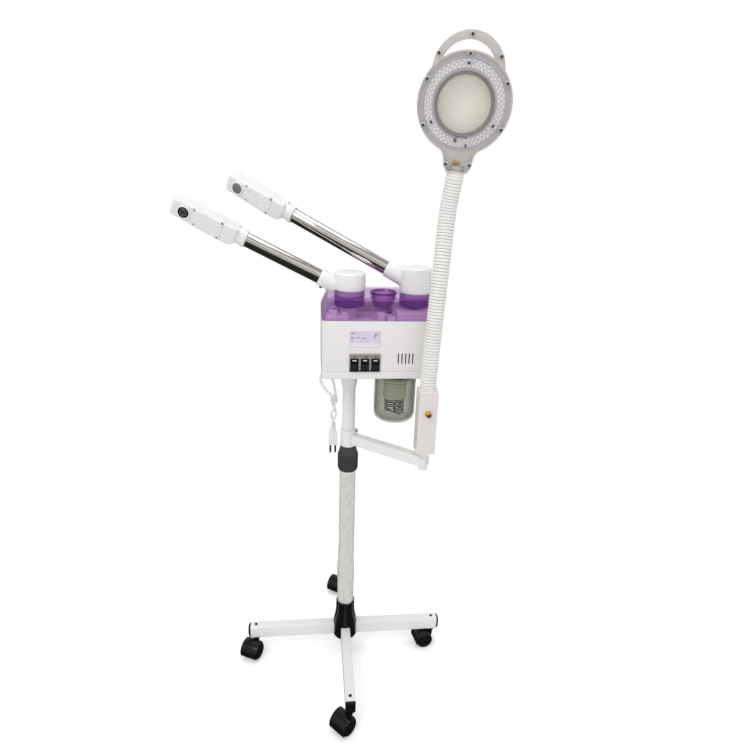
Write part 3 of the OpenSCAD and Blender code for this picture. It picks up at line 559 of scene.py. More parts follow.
put(m.build("clamp_collar", [GREY], sharp=50), "locking_collar", ["locking_collar"])

m = Mesh()
m.lathe(fillet([(11, 232), (12.5, 232), (12.5, 685), (11, 685)], [.3, .5, .5, .3], 3), n=96)
put(m.build("upper_tube", [WHITE_PAINT]), "upper_column", ["upper_column_tube"])

m = Mesh()
m.lathe(fillet([(12.6, 646), (14.2, 646), (15, 654), (16.5, 668), (18.6, 678), (19.6, 686.9), (12.6, 686.9)], [.3, .8, 8, 12, 8, .4, 0], 5), n=96)
put(m.build("socket", [WHITE]), "steamer_body", ["column_socket"])

# ------------------------------------------------------------------ steamer body
X0, X1, Y0, Y1 = -55.0, 153.0, -80.0, 70.0
JX, JY = 87.0, -20.0
CUP = [(-4.0, -18.0), (115.5, -18.0)]
RIM = [837.0, 833.0]
FX, FY, SDX = 58.0, -18.0, 12.0
YP = R(90, "X")                  # local x -> X, y -> Z, z -> -Y
m = Mesh()
m.plate(rr(X0, Y0, X1, Y1, 9, 8), [circ(44, 96, JX, JY)], 687, 690.6, top=0, bot=2.6, seg=5)
m.plate(rr(X0, Y0, X1, Y1, 9, 8), [rr(X0 + 2.5, Y0 + 2.5, X1 - 2.5, Y1 - 2.5, 6.5, 8)], 690.5, 700.9, top=0.35, bot=0)
put(m.build("bottom_pan", [WHITE]), "steamer_body", ["bottom_plate"])

m = Mesh()
m.plate(rr(X0, Y0, X1, Y1, 9, 8), [rr(X0 + 2.5, Y0 + 2.5, X1 - 2.5, Y1 - 2.5, 6.5, 8)], 701.3, 794.0, top=0.9, bot=0.35)
shell = m.build("housing", [WHITE])
c = Mesh()
c.box((21.75 - 25, Y0 - 3, 705), (21.75 + 25, Y0 + 4, 726), r=0.3)
for i in range(5):
    x = 80.5 + i * 6.5
    c.plate(rr(x, 716, x + 2.3, 735.6, 1.1, 4), [], 74, 84, YP)
cut(shell, c)
m = Mesh()
m.plate(rr(X0 + 2.4, Y0 + 2.4, X1 - 2.4, Y1 - 2.4, 6.4, 6), [circ(8, 48, *CUP[0]), circ(8, 48, *CUP[1]), circ(6.7, 40, FX + SDX, FY)], 786, 789, top=0.3, bot=0.3)
for cx, cy in CUP:
    m.lathe(fillet([(8, 788), (15, 788), (15, 807.4), (8, 807.4)], [0, 1, .6, .4], 3), T(cx, cy, 0), n=64)
m.lathe(fillet([(6.7, 788), (9.5, 788), (9.0, 795), (6.7, 795)], [0, 1, .5, .3], 3), T(FX + SDX, FY, 0), n=48)
# moulded duct blocks on the deck, seen through the clear cover
m.box((-47, -71, 788), (-7, -47, 800), r=1.4)
m.box((-40, -64, 799), (-27, -50, 808), r=1.6)
m.box((-20, -62, 799), (-9, -48, 804), r=1.4)
m.box((44, -66, 788), (56, -48, 803), r=1.4)
m.box((80, -66, 788), (143, -34, 806), r=1.6)
m.box((62, -60, 788), (77, -44, 795), r=1.2)
m.box((-48, 20, 788), (144, 56, 808), r=2.5)
m.sweep([(-47 + 9, -40, 793), (-38, -10, 795), (-28, 12, 797)], 4.5, n=20)
m.sweep([(120, -30, 794), (134, 0, 796), (134, 22, 798)], 4.5, n=20)
deck = m.build("housing_deck", [WHITE])
put(shell, "steamer_body", ["housing_shell"])
put(deck, "steamer_body", [])

# clear cover: sloping walls and a flat top, with cups for the caps and a hole for the funnel
def cover_sections(off, ztop, z_low):
    o = rr(X0 + off, Y0 + off, X1 - off, Y1 - off, 9 - off * 0.6, 8)
    t = rr(X0 + 12 + off, Y0 + 24 + off, X1 - 12 - off, Y1 - 7 - off, 13, 8)
    def mixp(f, z): return [(a[0] * (1 - f) + b[0] * f, a[1] * (1 - f) + b[1] * f, z) for a, b in zip(o, t)]
    h = ztop - 797.5
    s = [mixp(0, z_low), mixp(0, 797.0)]
    s += [mixp(0.012, 798.0), mixp(0.05, 799.6)]
    for k in range(1, 8):
        f = 0.05 + (0.86 - 0.05) * k / 8
        s.append(mixp(f, 799.6 + (ztop - 4.6 - 799.6) * k / 8))
    s += [mixp(0.88, ztop - 3.4), mixp(0.925, ztop - 1.7), mixp(0.965, ztop - 0.6), mixp(1.0, ztop - 0.1), mixp(1.03, ztop)]
    return s

m = Mesh()
so = cover_sections(0.0, 828.0, 794.15); si = cover_sections(2.4, 825.6, 794.15)
verts = []; faces = []; N = len(so[0])
for s in so + si: verts += s
k = len(so)
for j in range(k - 1):
    for i in range(N):
        i2 = (i + 1) % N
        faces.append([j * N + i, j * N + i2, (j + 1) * N + i2, (j + 1) * N + i])
        o = k * N
        faces.append([o + j * N + i2, o + j * N + i, o + (j + 1) * N + i, o + (j + 1) * N + i2])
for i in range(N):
    i2 = (i + 1) % N
    faces.append([i2, i, k * N + i, k * N + i2])
holes = [circ(27.95, 96, *CUP[0]), circ(27.95, 96, *CUP[1]), circ(22.9, 80, FX, FY)]
hi = []
for z in (828.0, 825.6):
    row = []
    for h in holes:
        row.append(list(range(len(verts), len(verts) + len(h)))); verts += [(p[0], p[1], z) for p in h]
    hi.append(row)
for base, row, flip in (((k - 1) * N, hi[0], False), ((2 * k - 1) * N, hi[1], True)):
    rows_ = [list(range(base, base + N))] + row
    flat = [i for r_ in rows_ for i in r_]
    for t in tessellate_polygon([[Vector((verts[i][0], verts[i][1], 0)) for i in r_] for r_ in rows_]):
        faces.append([flat[t[0]], flat[t[1]], flat[t[2]]])
for a, b in zip(hi[0], hi[1]):
    for i in range(len(a)):
        i2 = (i + 1) % len(a)
        faces.append([a[i], a[i2], b[i2], b[i]])
m.add(verts, faces)
put(m.build("clear_cover", [PURPLE], sharp=40), "steamer_body", ["top_cover"])
for q, (cx, cy) in enumerate(CUP):
    m = Mesh()
    rim = RIM[q]
    m.lathe(fillet([(8.1, 808), (26.6, 808), (28, 809.6), (28, rim - 9), (28, rim), (25.5, rim), (25.5, rim - 9), (25.5, 810.6), (8.1, 810.6)], [.3, 1.5, 1.5, 0, .8, .8, 0, .6, .3], 4), T(cx, cy, 0), n=112)
    for fi, f in enumerate(m.f):      # the rim gets a paler tint and the lower part a darker one: painted light on the rim, painted shade below it
        if sum(m.v[i].z for i in f) / len(f) > rim - 9.0: m.m[fi] = 1
    put(m.build("cup_%s" % ("left", "right")[q], [PURPLE_CUP_SHADE, PURPLE_CUP_LIT]), "steamer_body", [])

# funnel
m = Mesh()
pr = fillet([(0, 800), (9, 800), (14, 803), (19, 811), (21.6, 821), (22.2, 829.4), (24.2, 830.6), (25.4, 832.6), (25.3, 834.8), (23.6, 835.6), (22.2, 834.2),
             (20.2, 830.4), (19.7, 821.5), (17.2, 812), (12.6, 804.8), (8.2, 802.2), (0, 802.2)], [0, 2, 4, 8, 8, 3, 1.5, 1.5, 1.2, 1, 1.5, 3, 8, 8, 4, 2, 0], 4)
m.lathe(pr, T(FX, FY, 0), n=112)
m.lathe(fillet([(4.1, 783.5), (6, 783.5), (6, 807), (4.1, 807)], [.2, .8, .4, .2], 3), T(FX + SDX, FY, 0), n=48)
m.sweep([(FX + 2, FY, 801.4), (FX + 7, FY, 803), (FX + SDX, FY, 806)], [3.2, 4.4, 5.2], n=24)
# faces of the top rim take the darker rim tint: painted shade on the rim
for fi, f in enumerate(m.f):
    if sum(m.v[i].z for i in f) / len(f) > 829.8: m.m[fi] = 1
put(m.build("filling_funnel", [FUNNEL, FUNNEL_RIM_SHADE]), "funnel", ["funnel"])

# switch plate
m = Mesh()
wins = []
for i in (-1, 0, 1):
    cx = 21.75 + i * 18.7
    wins.append(rr(cx - 5.95, 715.5 - 9.98, cx + 5.95, 715.5 + 9.98, 0.7, 4))
m.plate(rr(-6, 702, 49.5, 735, 1.6, 5), wins, 80.06, 82.3, YP, top=0.5, bot=0.1)
for w in wins:                    # black frames round the switches
    ring = inset(ccw(w), -1.5)
    m.plate(ring, [w], 82.1, 83.0, YP, top=0.35, bot=0.0, mi=1)
m.plate(rr(-5.2, 702.5, 48.7, 705.1, 0.8, 4), [], 82.2, 82.75, YP, top=0.2, bot=0, mi=1)
for x, w in ((1.2, 2.2), (4.6, 1.0), (20.0, 1.2), (23.4, 2.4), (38.6, 2.6), (42.4, 1.0)):
    m.plate(rr(x, 728.9, x + w, 731.3, 0.4, 3), [], 82.2, 82.5, YP, mi=1)
put(m.build("switch_plate", [PANEL, BLACK, MARK]), "steamer_body", ["switch_panel"])
for i in (1, 2, 3):
    m = Mesh()
    F = T(21.75 + (i - 2) * 18.7, -80.5, 715.5) @ R(-7, "X") @ T(-5.7, 0, 0) @ ZX
    po = [(-3.7, 9.3), (-2.9, 5.4), (-2.35, 1.2), (-2.3, 0.0), (-2.35, -1.2), (-2.9, -5.4), (-3.7, -9.3), (1, -8.8), (6.3, -4.4), (6.3, 4.4), (1, 8.8)]
    m.plate(fillet(po, [.6, 3, 2, 2, 2, 3, .6, .5, .5, .5, .5], 3), [], 0, 11.4, F, top=0.5, bot=0.5)
    m.plate(rr(-3.75, 6.3, -3.1, 8.0, 0.2, 2), [], 2.2, 9.2, F, mi=1)
    put(m.build("switch_%d" % i, [BLACK_GLOSS, MARK_W]), "rocker_%d" % i, ["rocker_%d" % i])

# plain lilac label with no lettering: a soft tint, a pale band and a few smudged dashes
m = Mesh()
m.plate(rr(-6, 746, 48.5, 776.5, 1.4, 4), [], 80.0, 80.28, YP, top=0.12)
m.plate(rr(-4.4, 748, 46.9, 754.6, 0.8, 3), [], 80.2, 80.34, YP, mi=1)
for x, z, w, h in ((-3.5, 771.6, 5.5, 1.6), (-3.5, 763.0, 3.6, 2.2), (2.2, 762.6, 2.2, 1.6), (5.8, 763.4, 6.2, 1.5), (13.6, 763.0, 9.0, 1.2), (-3.2, 757.8, 2.4, 1.6), (37.6, 764.0, 1.6, 8.4), (40.8, 768.0, 1.2, 4.4)):
    m.plate(rr(x, z, x + w, z + h, 0.5, 3), [], 80.2, 80.33, YP, mi=2)
put(m.build("front_label", [LILAC, MARK_W, MARK]), "steamer_body", [])

# boiler head, heater, jar and ring
m = Mesh()
J = T(JX, JY, 0)
m.lathe(fillet([(20, 630), (22, 630), (22, 672), (36, 672), (36, 689), (48, 690.7), (48, 695), (20, 695)], [.5, .5, 2, 1, .5, .5, .5, 0], 3), J, n=96)
put(m.build("boiler_top", [BOILER_PAINTED_LIGHT]), "steamer_body", ["boiler_head"])
m = Mesh()
coil = []
for i in range(3 * 40 + 1):
    t = 2 * math.pi * i / 40
    coil.append((17 * math.cos(t), 17 * math.sin(t), 602 + 8.5 * i / 40 * 0.98))
m.sweep(coil, 2.7, n=18, M=J)
m.sweep([(17, 0, 602), (17.5, -2, 598), (9, -6, 597), (0, -6, 600), (0, -6, 671)], [2.4] * 5, n=18, M=J)
m.sweep([(17, 0, 627), (17, 0.5, 640), (17, 0.5, 671)], 2.4, n=18, M=J)
put(m.build("heater_coil", [STEEL]), "steamer_body", ["heater_element"])
m = Mesh()
pr = fillet([(0, 587), (26, 587), (33, 588.6), (37.4, 592.6), (39.3, 599), (39.5, 606), (39.5, 681.8), (41.3, 681.8), (41.3, 685), (37, 685), (37, 604), (36.4, 598.8),
             (34.2, 594.4), (30.6, 591.4), (25, 590.2), (0, 590.2)], [0, 8, 6, 6, 6, 10, .5, .5, .8, .8, 10, 6, 6, 6, 8, 0], 4)
m.lathe(pr, J, n=128)
for z in (668.0, 673.5):          # moulded thread lines under the ring
    m.lathe(fillet([(39.2, z), (40.1, z + .4), (40.1, z + 1.4), (39.2, z + 1.8)], [0, .4, .4, 0], 3), J, n=128)
put(m.build("water_jar", [SMOKE]), "jar", ["jar"])
m = Mesh()
m.lathe(fillet([(39.8, 679.1), (43.4, 679.1), (43.4, 686.5), (41.7, 686.5), (41.7, 681.6), (39.8, 681.6)], [.3, .8, .6, .2, 0, .2], 3), J, n=144,
        mod=lambda t, r, z: (0.35 * max(0, math.cos(48 * t)) if r > 43 else 0))
m.box((40.6, -7, 679.6), (53, 7, 685.8), M=J @ R(12, "Z"), r=1.6)
put(m.build("jar_clamp_ring", [BLACK]), "jar_ring", ["jar_ring"])

# cord: a loose loop from the housing, a tied bundle and the plug
m = Mesh()
def cl(t): return (-44 - 19 * math.sin(math.pi * t) + 16 * t, 12 - 10 * t, 684.6 - 66 * t)
def cr(t, ph, a): return (-29 - 3.4 * math.sin(2 * math.pi * (1.4 * t + ph)) + a, 2 + 3.2 * math.sin(2 * math.pi * (t + ph)), 620 - 63 * t)
m.sweep([cl(i / 40) for i in range(41)], 2.5, n=16)
m.sweep([(cl(t / 30)[0] + 21 * math.sin(math.pi * t / 30) + 2.5, cl(t / 30)[1] + 4, cl(t / 30)[2] + 0.4) for t in range(31)], 2.5, n=16)
m.sweep([cr(i / 50, 0.0, 0.0) for i in range(51)], 2.4, n=16)
m.sweep([cr(i / 50, 0.42, -2.6) for i in range(51)], 2.4, n=16)
for zc in (618.5, 614.8, 611.4):
    m.sweep([(-29.5 + 6.6 * math.cos(2 * math.pi * i / 28), 1.6 + 6.0 * math.sin(2 * math.pi * i / 28), zc + 0.6 * math.sin(2 * math.pi * i / 14)) for i in range(28)], 1.1, n=10, closed=True)
secs = []
for z, g in ((519.2, 1.6), (519.8, 0.6), (521, 0.0), (535, 0.0), (544, 0.6), (550, 2.6), (554, 3.9), (557, 4.4)):
    secs.append([(-31 + p[0], p[1], z) for p in rr(-8.5 + g, -6.8 + g * 0.7, 8.5 - g, 6.8 - g * 0.7, 2.6, 5)])
m.loft(secs)
for z in (546.5, 549.5, 552.5):
    m.sweep([(-31 + 5.6 * math.cos(2 * math.pi * i / 28), 4.6 * math.sin(2 * math.pi * i / 28), z) for i in range(28)], 0.8, n=8, closed=True)
for s in (-1, 1):
    m.lathe(fillet([(0, 500.6), (1.2, 500.6), (2, 501.6), (2, 521), (0, 521)], [0, .4, .6, 0, 0], 3), T(-31 + 5 * s, 0, 0), n=24, mi=1)
put(m.build("mains_cord", [CORD, STEEL]), "steamer_body", ["power_cord"])

# ------------------------------------------------------------------ steam arms
ELEV, AZ, ELB, BARE, HL, ROLL = 26.0, (178.0, 164.0), 60.0, (140.0, 194.0), 131.0, 14.0
AZ0 = (833.5, 848.5); CTOP = (869.0, 880.0); CBOT = (838.5, 834.5); SR = 12.7
for q, side in enumerate(("left", "right")):
    cx, cy = CUP[q]
    A = T(cx, cy, AZ0[q]) @ R(AZ[q], "Z") @ R(-ELEV, "Y")
    AL = A @ R(90, "Y")           # local z runs along the arm
    m = Mesh()
    ct, cb = CTOP[q], CBOT[q]
    m.lathe(fillet([(0, ct), (25.6, ct), (28.5, ct - 2.4), (28.6, ct - 9), (28.4, cb + 0.1), (25.4, cb + 0.1), (25.4, 814.2), (22.9, 814.2), (22.9, ct - 4), (0, ct - 4)],
                   [0, 4, 2, 1, .8, .2, .5, .3, 1, 0], 5), T(cx, cy, 0), n=128)
    body_ = m.build("cap_%s" % side, [WHITE_GLOSS])
    m = Mesh()
    m.lathe(fillet([(12.9, 14), (16.0, 14), (15.9, 24), (15.2, ELB - 7), (14.5, ELB), (12.9, ELB)], [0, 0, 6, 5, 1.1, .4], 5), AL, n=112)
    elbow = m.build("elbow_%s" % side, [WHITE_GLOSS])
    c = Mesh()
    c.lathe([(0, cb - 50), (30.5, cb - 50), (30.5, cb + 0.1), (0, cb + 0.1)], T(cx, cy, 0), n=128)
    cut(elbow, c)
    c = Mesh()
    c.lathe([(0, 800), (27.0, 800), (27.0, 900), (0, 900)], T(cx, cy, 0), n=128)
    cut(elbow, c)
    put(body_, "arm_" + side, ["arm_%s_base" % side])
    put(elbow, "arm_" + side, [])
    if q == 0:                    # small clamp screw under the left elbow
        m = Mesh()
        m.lathe(fillet([(0, 0), (2.6, 0), (2.6, 2.2), (1.6, 3.2), (0, 3.2)], [0, .2, .6, .4, 0], 3), A @ T(50, 0, -15.0) @ R(180, "X"), n=24)
        put(m.build("elbow_screw", [SCREW]), "arm_left", [])
    te = ELB + BARE[q]
    m = Mesh()
    m.lathe(fillet([(SR - 1, ELB - 22), (SR, ELB - 22), (SR, te + 11.5), (SR - 1, te + 11.5)], [.2, .3, .3, .2], 3), AL, n=128)
    put(m.build("tube_%s" % side, [CHROME]), "arm_" + side, ["arm_%s_tube" % side])

    NF = A @ R(-ROLL, "X"); NL = NF @ R(90, "Y")
    tip = te + HL
    m = Mesh()
    m.lathe(fillet([(SR + .1, te + .1), (14.9, te + .1), (15.5, te + 1.2), (15.5, te + 6.2), (14.2, te + 8), (13.9, te + 18.5), (SR + .1, te + 18.5)], [.3, .6, .6, 1, 1, 0, 0], 4), NL, n=112)
    # head: rounded box drawn out along the arm, with a parting groove
    bot = lambda x: (-12 - 5 * min(1, (x - 16) / 5)) if x < 21 else (-17 - 1.7 * min(1, (x - 21) / 7)) if x < 46 else (-18.7 + 3.6 * (x - 46) / (HL - 52)) if x < HL - 6 else (-15.1 + 1.4 * (x - (HL - 6)) / 6)
    top = lambda x: (12 + 2.2 * min(1, (x - 16) / 2.5)) if x < HL - 10 else 14.2 - 1.4 * (x - (HL - 10)) / 10
    xs = [16, 16.4, 17.2, 18.6, 20.5, 23, 26, 30, 35, 41.2, 41.6, 41.9, 42.3, 42.6, 43.0, 50, 60, 70, 80, 90, 100, 108, 114, 118, 121, 124, 126.5, 128.4, 129.6, 130.4, 130.9]
    secs = []
    for x in xs:
        g = 0.0
        if x < 18.6: g = 2.2 * (1 - (x - 16) / 2.6) ** 2
        if x > 127: g = 2.0 * ((x - 127) / 3.9) ** 2.4
        if 41.4 < x < 42.8: g = 0.8
        yb = 16.0 - (0.0 if x < 70 else 1.0 * (x - 70) / 61)
        lo, hi_ = bot(x) + g * 0.9, top(x) - g * 0.9
        secs.append([(te + x, p[0], p[1]) for p in rr(-yb + g, lo, yb - g, hi_, 3.4, 6)])
    m.loft(secs, NF)
    # raised ring round the outlet and a raised loop outline on the flat face
    NO = NF @ T(tip - 22, 0, -1.2) @ R(-90, "X") @ Matrix.Diagonal((1.12, 1.12, 1, 1))
    m.lathe(fillet([(8.15, 14.6), (11.0, 14.6), (10.7, 17.0), (9.6, 17.9), (8.15, 17.4)], [0, 0, .8, .6, .3], 4), NO, n=80)
    lp = []
    xa, xb, rz = te + 66, tip - 37, 8.4
    for i in range(25): lp.append((xa + rz - rz * math.sin(math.pi * i / 24), 15.75, -2.6 + rz * math.cos(math.pi * i / 24)))
    for i in range(25): lp.append((xb - rz * 0 + 3.5 * math.sin(math.pi * i / 24), 15.3, -2.2 - rz * math.cos(math.pi * i / 24)))
    m.sweep(lp, 1.0, n=10, M=NF, closed=True)
    put(m.build("head_%s" % side, [HEAD_WHITE], sharp=38), "nozzle_" + side, ["arm_%s_nozzle" % side])
    m = Mesh()
    for x, z in ((44.5, 12.0), (94, 11.4), (45.5, -16.0), (88, -13.4)):
        m.lathe(fillet([(0, 0), (2.1, 0), (2.1, .7), (1.3, 1.2), (0.9, 0.6), (0, 0.6)], [0, .1, .4, .2, .1, 0], 3), NF @ T(te + x, 15.0 - (0 if x < 70 else (x - 70) / 61), z) @ R(-90 + (25 if z > 0 else -25), "X"), n=24)
    put(m.build("head_screws_%s" % side, [SCREW]), "nozzle_" + side, [])
    m = Mesh()
    if q == 0:
        m.lathe(fillet([(0, 12.0), (8.0, 12.0), (8.0, 17.0), (7.4, 17.5), (6.8, 16.6), (6.6, 15.7), (0, 15.7)], [0, .4, .4, .3, .3, .2, 0], 4), NO, n=80, mi=1)
        m.lathe(fillet([(4.5, 15.5), (5.9, 15.5), (5.9, 16.6), (5.3, 17.1), (4.5, 16.7)], [0, 0, .3, .4, .3], 3), NO, n=80, mi=0)
        m.lathe(fillet([(1.9, 15.5), (3.0, 15.5), (3.0, 16.3), (2.5, 16.7), (1.9, 16.3)], [0, 0, .3, .3, .2], 3), NO, n=64, mi=0)
        ob = m.build("outlet_left", [SILV, DARK])
    else:
        m.lathe(fillet([(4.05, 7.8), (8.0, 7.8), (8.0, 16.6), (7.4, 17.0), (4.05, 16.8)], [.2, .4, .5, .2, .1], 3), NO, n=80, mi=0)
        m.lathe(fillet([(0, 15.9), (7.3, 15.9), (7.3, 17.0), (0, 17.4)], [0, .1, .2, 0], 3), NO, n=80, mi=0)
        ob = m.build("outlet_right", [GRILLE])
    put(ob, "nozzle_" + side, ["arm_%s_outlet" % side])

# ------------------------------------------------------------------ lamp
PX, PY = 133.5, -105.0
BZ0, BZ1 = 555.5, 676.5
m = Mesh()
m.lathe(fillet([(12.6, 518), (15.5, 518), (15.5, 553), (12.6, 553)], [.3, 1.0, 1.0, .3], 4), n=96)
ad = math.degrees(math.atan2(PY, PX)); alen = math.hypot(PX, PY)
m.plate(rr(-10, 524, 10, 544, 2.5, 5), [rr(-8.5, 525.5, 8.5, 542.5, 1.5, 4)], 13.5, alen - 1, R(ad, "Z") @ ZX, top=0.5, bot=0)
m.plate(rr(-9.9, 524.1, 9.9, 543.9, 2.5, 5), [], alen - 2.2, alen + 8.0, R(ad, "Z") @ ZX, top=1.6, bot=0.2)
m.lathe(fillet([(5.1, 517), (8.2, 517), (8.2, 554.8), (5.1, 554.8)], [.3, .9, .6, .2], 4), T(PX, PY, 0), n=64)
put(m.build("bracket", [WHITE_PAINT]), "lamp_bracket", ["lamp_bracket"])
m = Mesh()
m.lathe(fillet([(0, 12.8), (1.8, 12.8), (1.8, 15.6), (3.3, 15.6), (3.3, 17.6), (2.6, 18.2), (1.4, 18.2), (1.2, 17.2), (0, 17.2)], [0, .1, 0, .3, .3, .3, .1, 0, 0], 3), T(0, 0, 548.5) @ R(90, "Y"), n=32)
put(m.build("bracket_clamp_screw", [SCREW]), "lamp_bracket", ["bracket_screw"])
m = Mesh()
m.plate(rr(PX - 17, PY - 17, PX + 17, PY + 17, 2.2, 6), [], BZ0, BZ0 + 6, top=0, bot=1.2, seg=4)
m.plate(rr(PX - 17, PY - 17, PX + 17, PY + 17, 2.2, 6), [rr(PX - 15, PY - 15, PX + 15, PY + 15, 1.5, 4)], BZ0 + 5.9, BZ1 - 6.1)
m.plate(rr(PX - 17, PY - 17, PX + 17, PY + 17, 2.2, 6), [], BZ1 - 6.0, BZ1, top=1.6, bot=0, seg=4)
m.lathe(fillet([(0, 519.4), (4.2, 519.4), (5, 520.4), (5, 557), (0, 557)], [0, .4, .6, 0, 0], 3), T(PX, PY, 0), n=56)
m.lathe(fillet([(0, BZ1 - 1), (17.4, BZ1 - 1), (17.0, BZ1 + 1.6), (0, BZ1 + 1.6)], [0, 0, .8, 0], 3), T(PX, PY, 0), n=80)
put(m.build("lamp_housing_box", [PINK_WHITE]), "lamp_box", ["lamp_box"])
B = T(PX, PY, 636) @ R(90, "X")
m = Mesh()
m.lathe(fillet([(3.3, 8.2), (4, 8.2), (4, 17.0), (4.0, 19.2), (4.9, 19.4), (4.9, 24.4), (4.2, 25.2), (3.3, 25.2)], [.1, .2, 0, .2, .3, .6, .4, .2], 3), B, n=72,
        mod=lambda t, r, z: (0.16 * max(0, math.cos(36 * t)) if r > 4.6 and 19.8 < z < 24.0 else 0))
hexp = [(6.3 * math.cos(math.radians(60 * i)), 6.3 * math.sin(math.radians(60 * i))) for i in range(6)]
m.plate(fillet(hexp, 0.5, 3), [circ(3.6, 32)], 17.05, 19.6, B, top=0.5, bot=0.2)
put(m.build("switch_bushing", [BRASS]), "lamp_box", ["lamp_switch_bushing"])
m = Mesh()
m.lathe(fillet([(0, 12.2), (3.2, 12.2), (3.2, 27.6), (2.4, 28.9), (0, 29.1)], [0, .1, .9, .6, 0], 4), B, n=56)
put(m.build("switch_button", [REDBUT]), "lamp_button", ["lamp_button"])

# neck centre line and head frame
PITCH = 95.3
LEAN = (0, 2.6, 4.0, 5.4, 5.0); TILT = (0, -1.6, -5.9, -9.5, 9.0)
def along(i):
    t, l = math.radians(TILT[i]), math.radians(LEAN[i])
    return Vector((math.cos(t) * math.sin(l), -math.sin(t), math.cos(t) * math.cos(l)))
P1 = Vector((PX, PY, BZ1 + 20)); P2 = P1 + PITCH * along(1); P3 = P2 + PITCH * along(2); P4 = P3 + PITCH * along(3); P5 = P4 + 68 * along(4)
H = T(*P5) @ R(0.4, "Y") @ R(9, "X") @ R(-11, "Z") @ T(0, 0, 93)
HP = H @ R(90, "X")               # local x, y in the plane of the lens, z towards the user

def catmull(p0, p1, p2, p3, t):
    return 0.5 * ((2 * p1) + (p2 - p0) * t + (2 * p0 - 5 * p1 + 4 * p2 - p3) * t * t + (3 * p1 - p0 - 3 * p2 + p3) * t ** 3)
hub_up = (H.to_3x3() @ Vector((0, 0, 1))).normalized()
ctrl = [Vector((PX, PY, BZ1 - 60)), Vector((PX, PY, BZ1)), P1 + Vector((0.3, 0, 8)), P2 + Vector((0, 0.6, 0)), P3, P4 + Vector((0, 1.5, 2)), P5 + hub_up * 6, P5 + hub_up * 70]
line = []
for k in range(1, len(ctrl) - 2):
    for i in range(60):
        line.append(catmull(ctrl[k - 1], ctrl[k], ctrl[k + 1], ctrl[k + 2], i / 60))
line.append(ctrl[-2].copy())
# resample evenly
seglen = [0.0]
for a, b in zip(line[:-1], line[1:]): seglen.append(seglen[-1] + (b - a).length)
total = seglen[-1]
def at(s):
    s = max(0.0, min(total, s))
    lo, hi2 = 0, len(seglen) - 1
    while hi2 - lo > 1:
        mid = (lo + hi2) // 2
        if seglen[mid] <= s: lo = mid
        else: hi2 = mid
    f = (s - seglen[lo]) / max(1e-9, seglen[hi2] - seglen[lo])
    return line[lo].lerp(line[hi2], f)
def s_of(p):
    best, bs = 1e9, 0
    for i in range(0, 2001):
        s = total * i / 2000; d = (at(s) - p).length
        if d < best: best, bs = d, s
    return bs
RING = 5.2
marks = [1.2, (s_of(P1) + s_of(P2)) / 2, (s_of(P2) + s_of(P3)) / 2, (s_of(P3) + s_of(P4)) / 2, total]
marks = [marks[0]] + [round(x / RING) * RING for x in marks[1:4]] + [total]
pairs = (("lamp_box", "neck_1", P1), ("neck_1", "neck_2", P2), ("neck_2", "neck_3", P3), ("neck_3", "lamp_head", P4))
nodes = (None, "neck_segment_1", "neck_segment_2", "neck_segment_3")
for h in range(4):
    a, b = marks[h], marks[h + 1]
    pts = []; rad = []
    step = RING / 12
    n_ = int(round((b - a) / step)); step = (b - a) / n_
    for i in range(n_ + 1):
        s = a + i * step
        ph = (s / RING) % 1.0
        w = abs(math.sin(math.pi * ph)) ** 0.5            # rounded ribs with narrow valleys
        r_ = 12.75 + 1.75 * w
        if s > total - 11: r_ -= 1.3 * min(1, (s - (total - 11)) / 4)
        pts.append(at(s)); rad.append(r_)
    m = Mesh()
    m.sweep(pts, rad, n=56)
    for j in range(len(pts) - 1):     # the bottoms of the valleys get a darker colour: painted shade in the creases
        if max(rad[j], rad[j + 1]) < 13.75:
            for i in range(56): m.m[j * 56 + i] = 1
    ob = m.build("neck_hose_%d" % (h + 1), [HOSE, HOSE_VALLEY_SHADE], sharp=70)
    ba, bb, piv = pairs[h]
    d = (at(s_of(piv) + 5) - at(s_of(piv) - 5)).normalized()
    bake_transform(ob)
    if nodes[h]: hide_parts(nodes[h])

# head outline, handle opening and neck
LR = 71.5
NECK = [(-44, -54), (-35, -59), (-28, -66), (-24, -74), (-22.6, -82), (-21.6, -90), (-16.4, -99), (16.4, -99), (21.6, -90), (22.6, -82), (24, -74), (28, -66), (35, -59), (44, -54)]
def ray_poly(poly, t):
    dx, dy = math.cos(t), math.sin(t); best = 0.0
    for i in range(len(poly)):
        x1_, y1_ = poly[i]; x2_, y2_ = poly[(i + 1) % len(poly)]
        den = dx * (y2_ - y1_) - dy * (x2_ - x1_)
        if abs(den) < 1e-9: continue
        u = (x1_ * (y2_ - y1_) - y1_ * (x2_ - x1_)) / den
        w = (x1_ * dy - y1_ * dx) / den
        if u > 0 and -1e-9 <= w <= 1 + 1e-9: best = max(best, u)
    return best
def outline(r_disc, r_handle, shrink, n=360, neck_bottom=None):
    poly = fillet(inset(ccw(NECK), shrink), 5.0, 5)
    out = []
    for i in range(n):
        t = 2 * math.pi * i / n
        r_ = r_disc
        if r_handle:
            b = 43 * math.sin(t); dsc = b * b - (43 * 43 - r_handle ** 2)
            if dsc > 0: r_ = max(r_, b + math.sqrt(dsc))
        r_ = max(r_, ray_poly(poly, t))
        out.append(r_)
    # soften inner corners
    for _ in range(3):
        out = [(out[i - 1] + 2 * out[i] + out[(i + 1) % n]) / 4 for i in range(n)]
    return [(r_ * math.cos(2 * math.pi * i / n), r_ * math.sin(2 * math.pi * i / n)) for i, r_ in enumerate(out)]
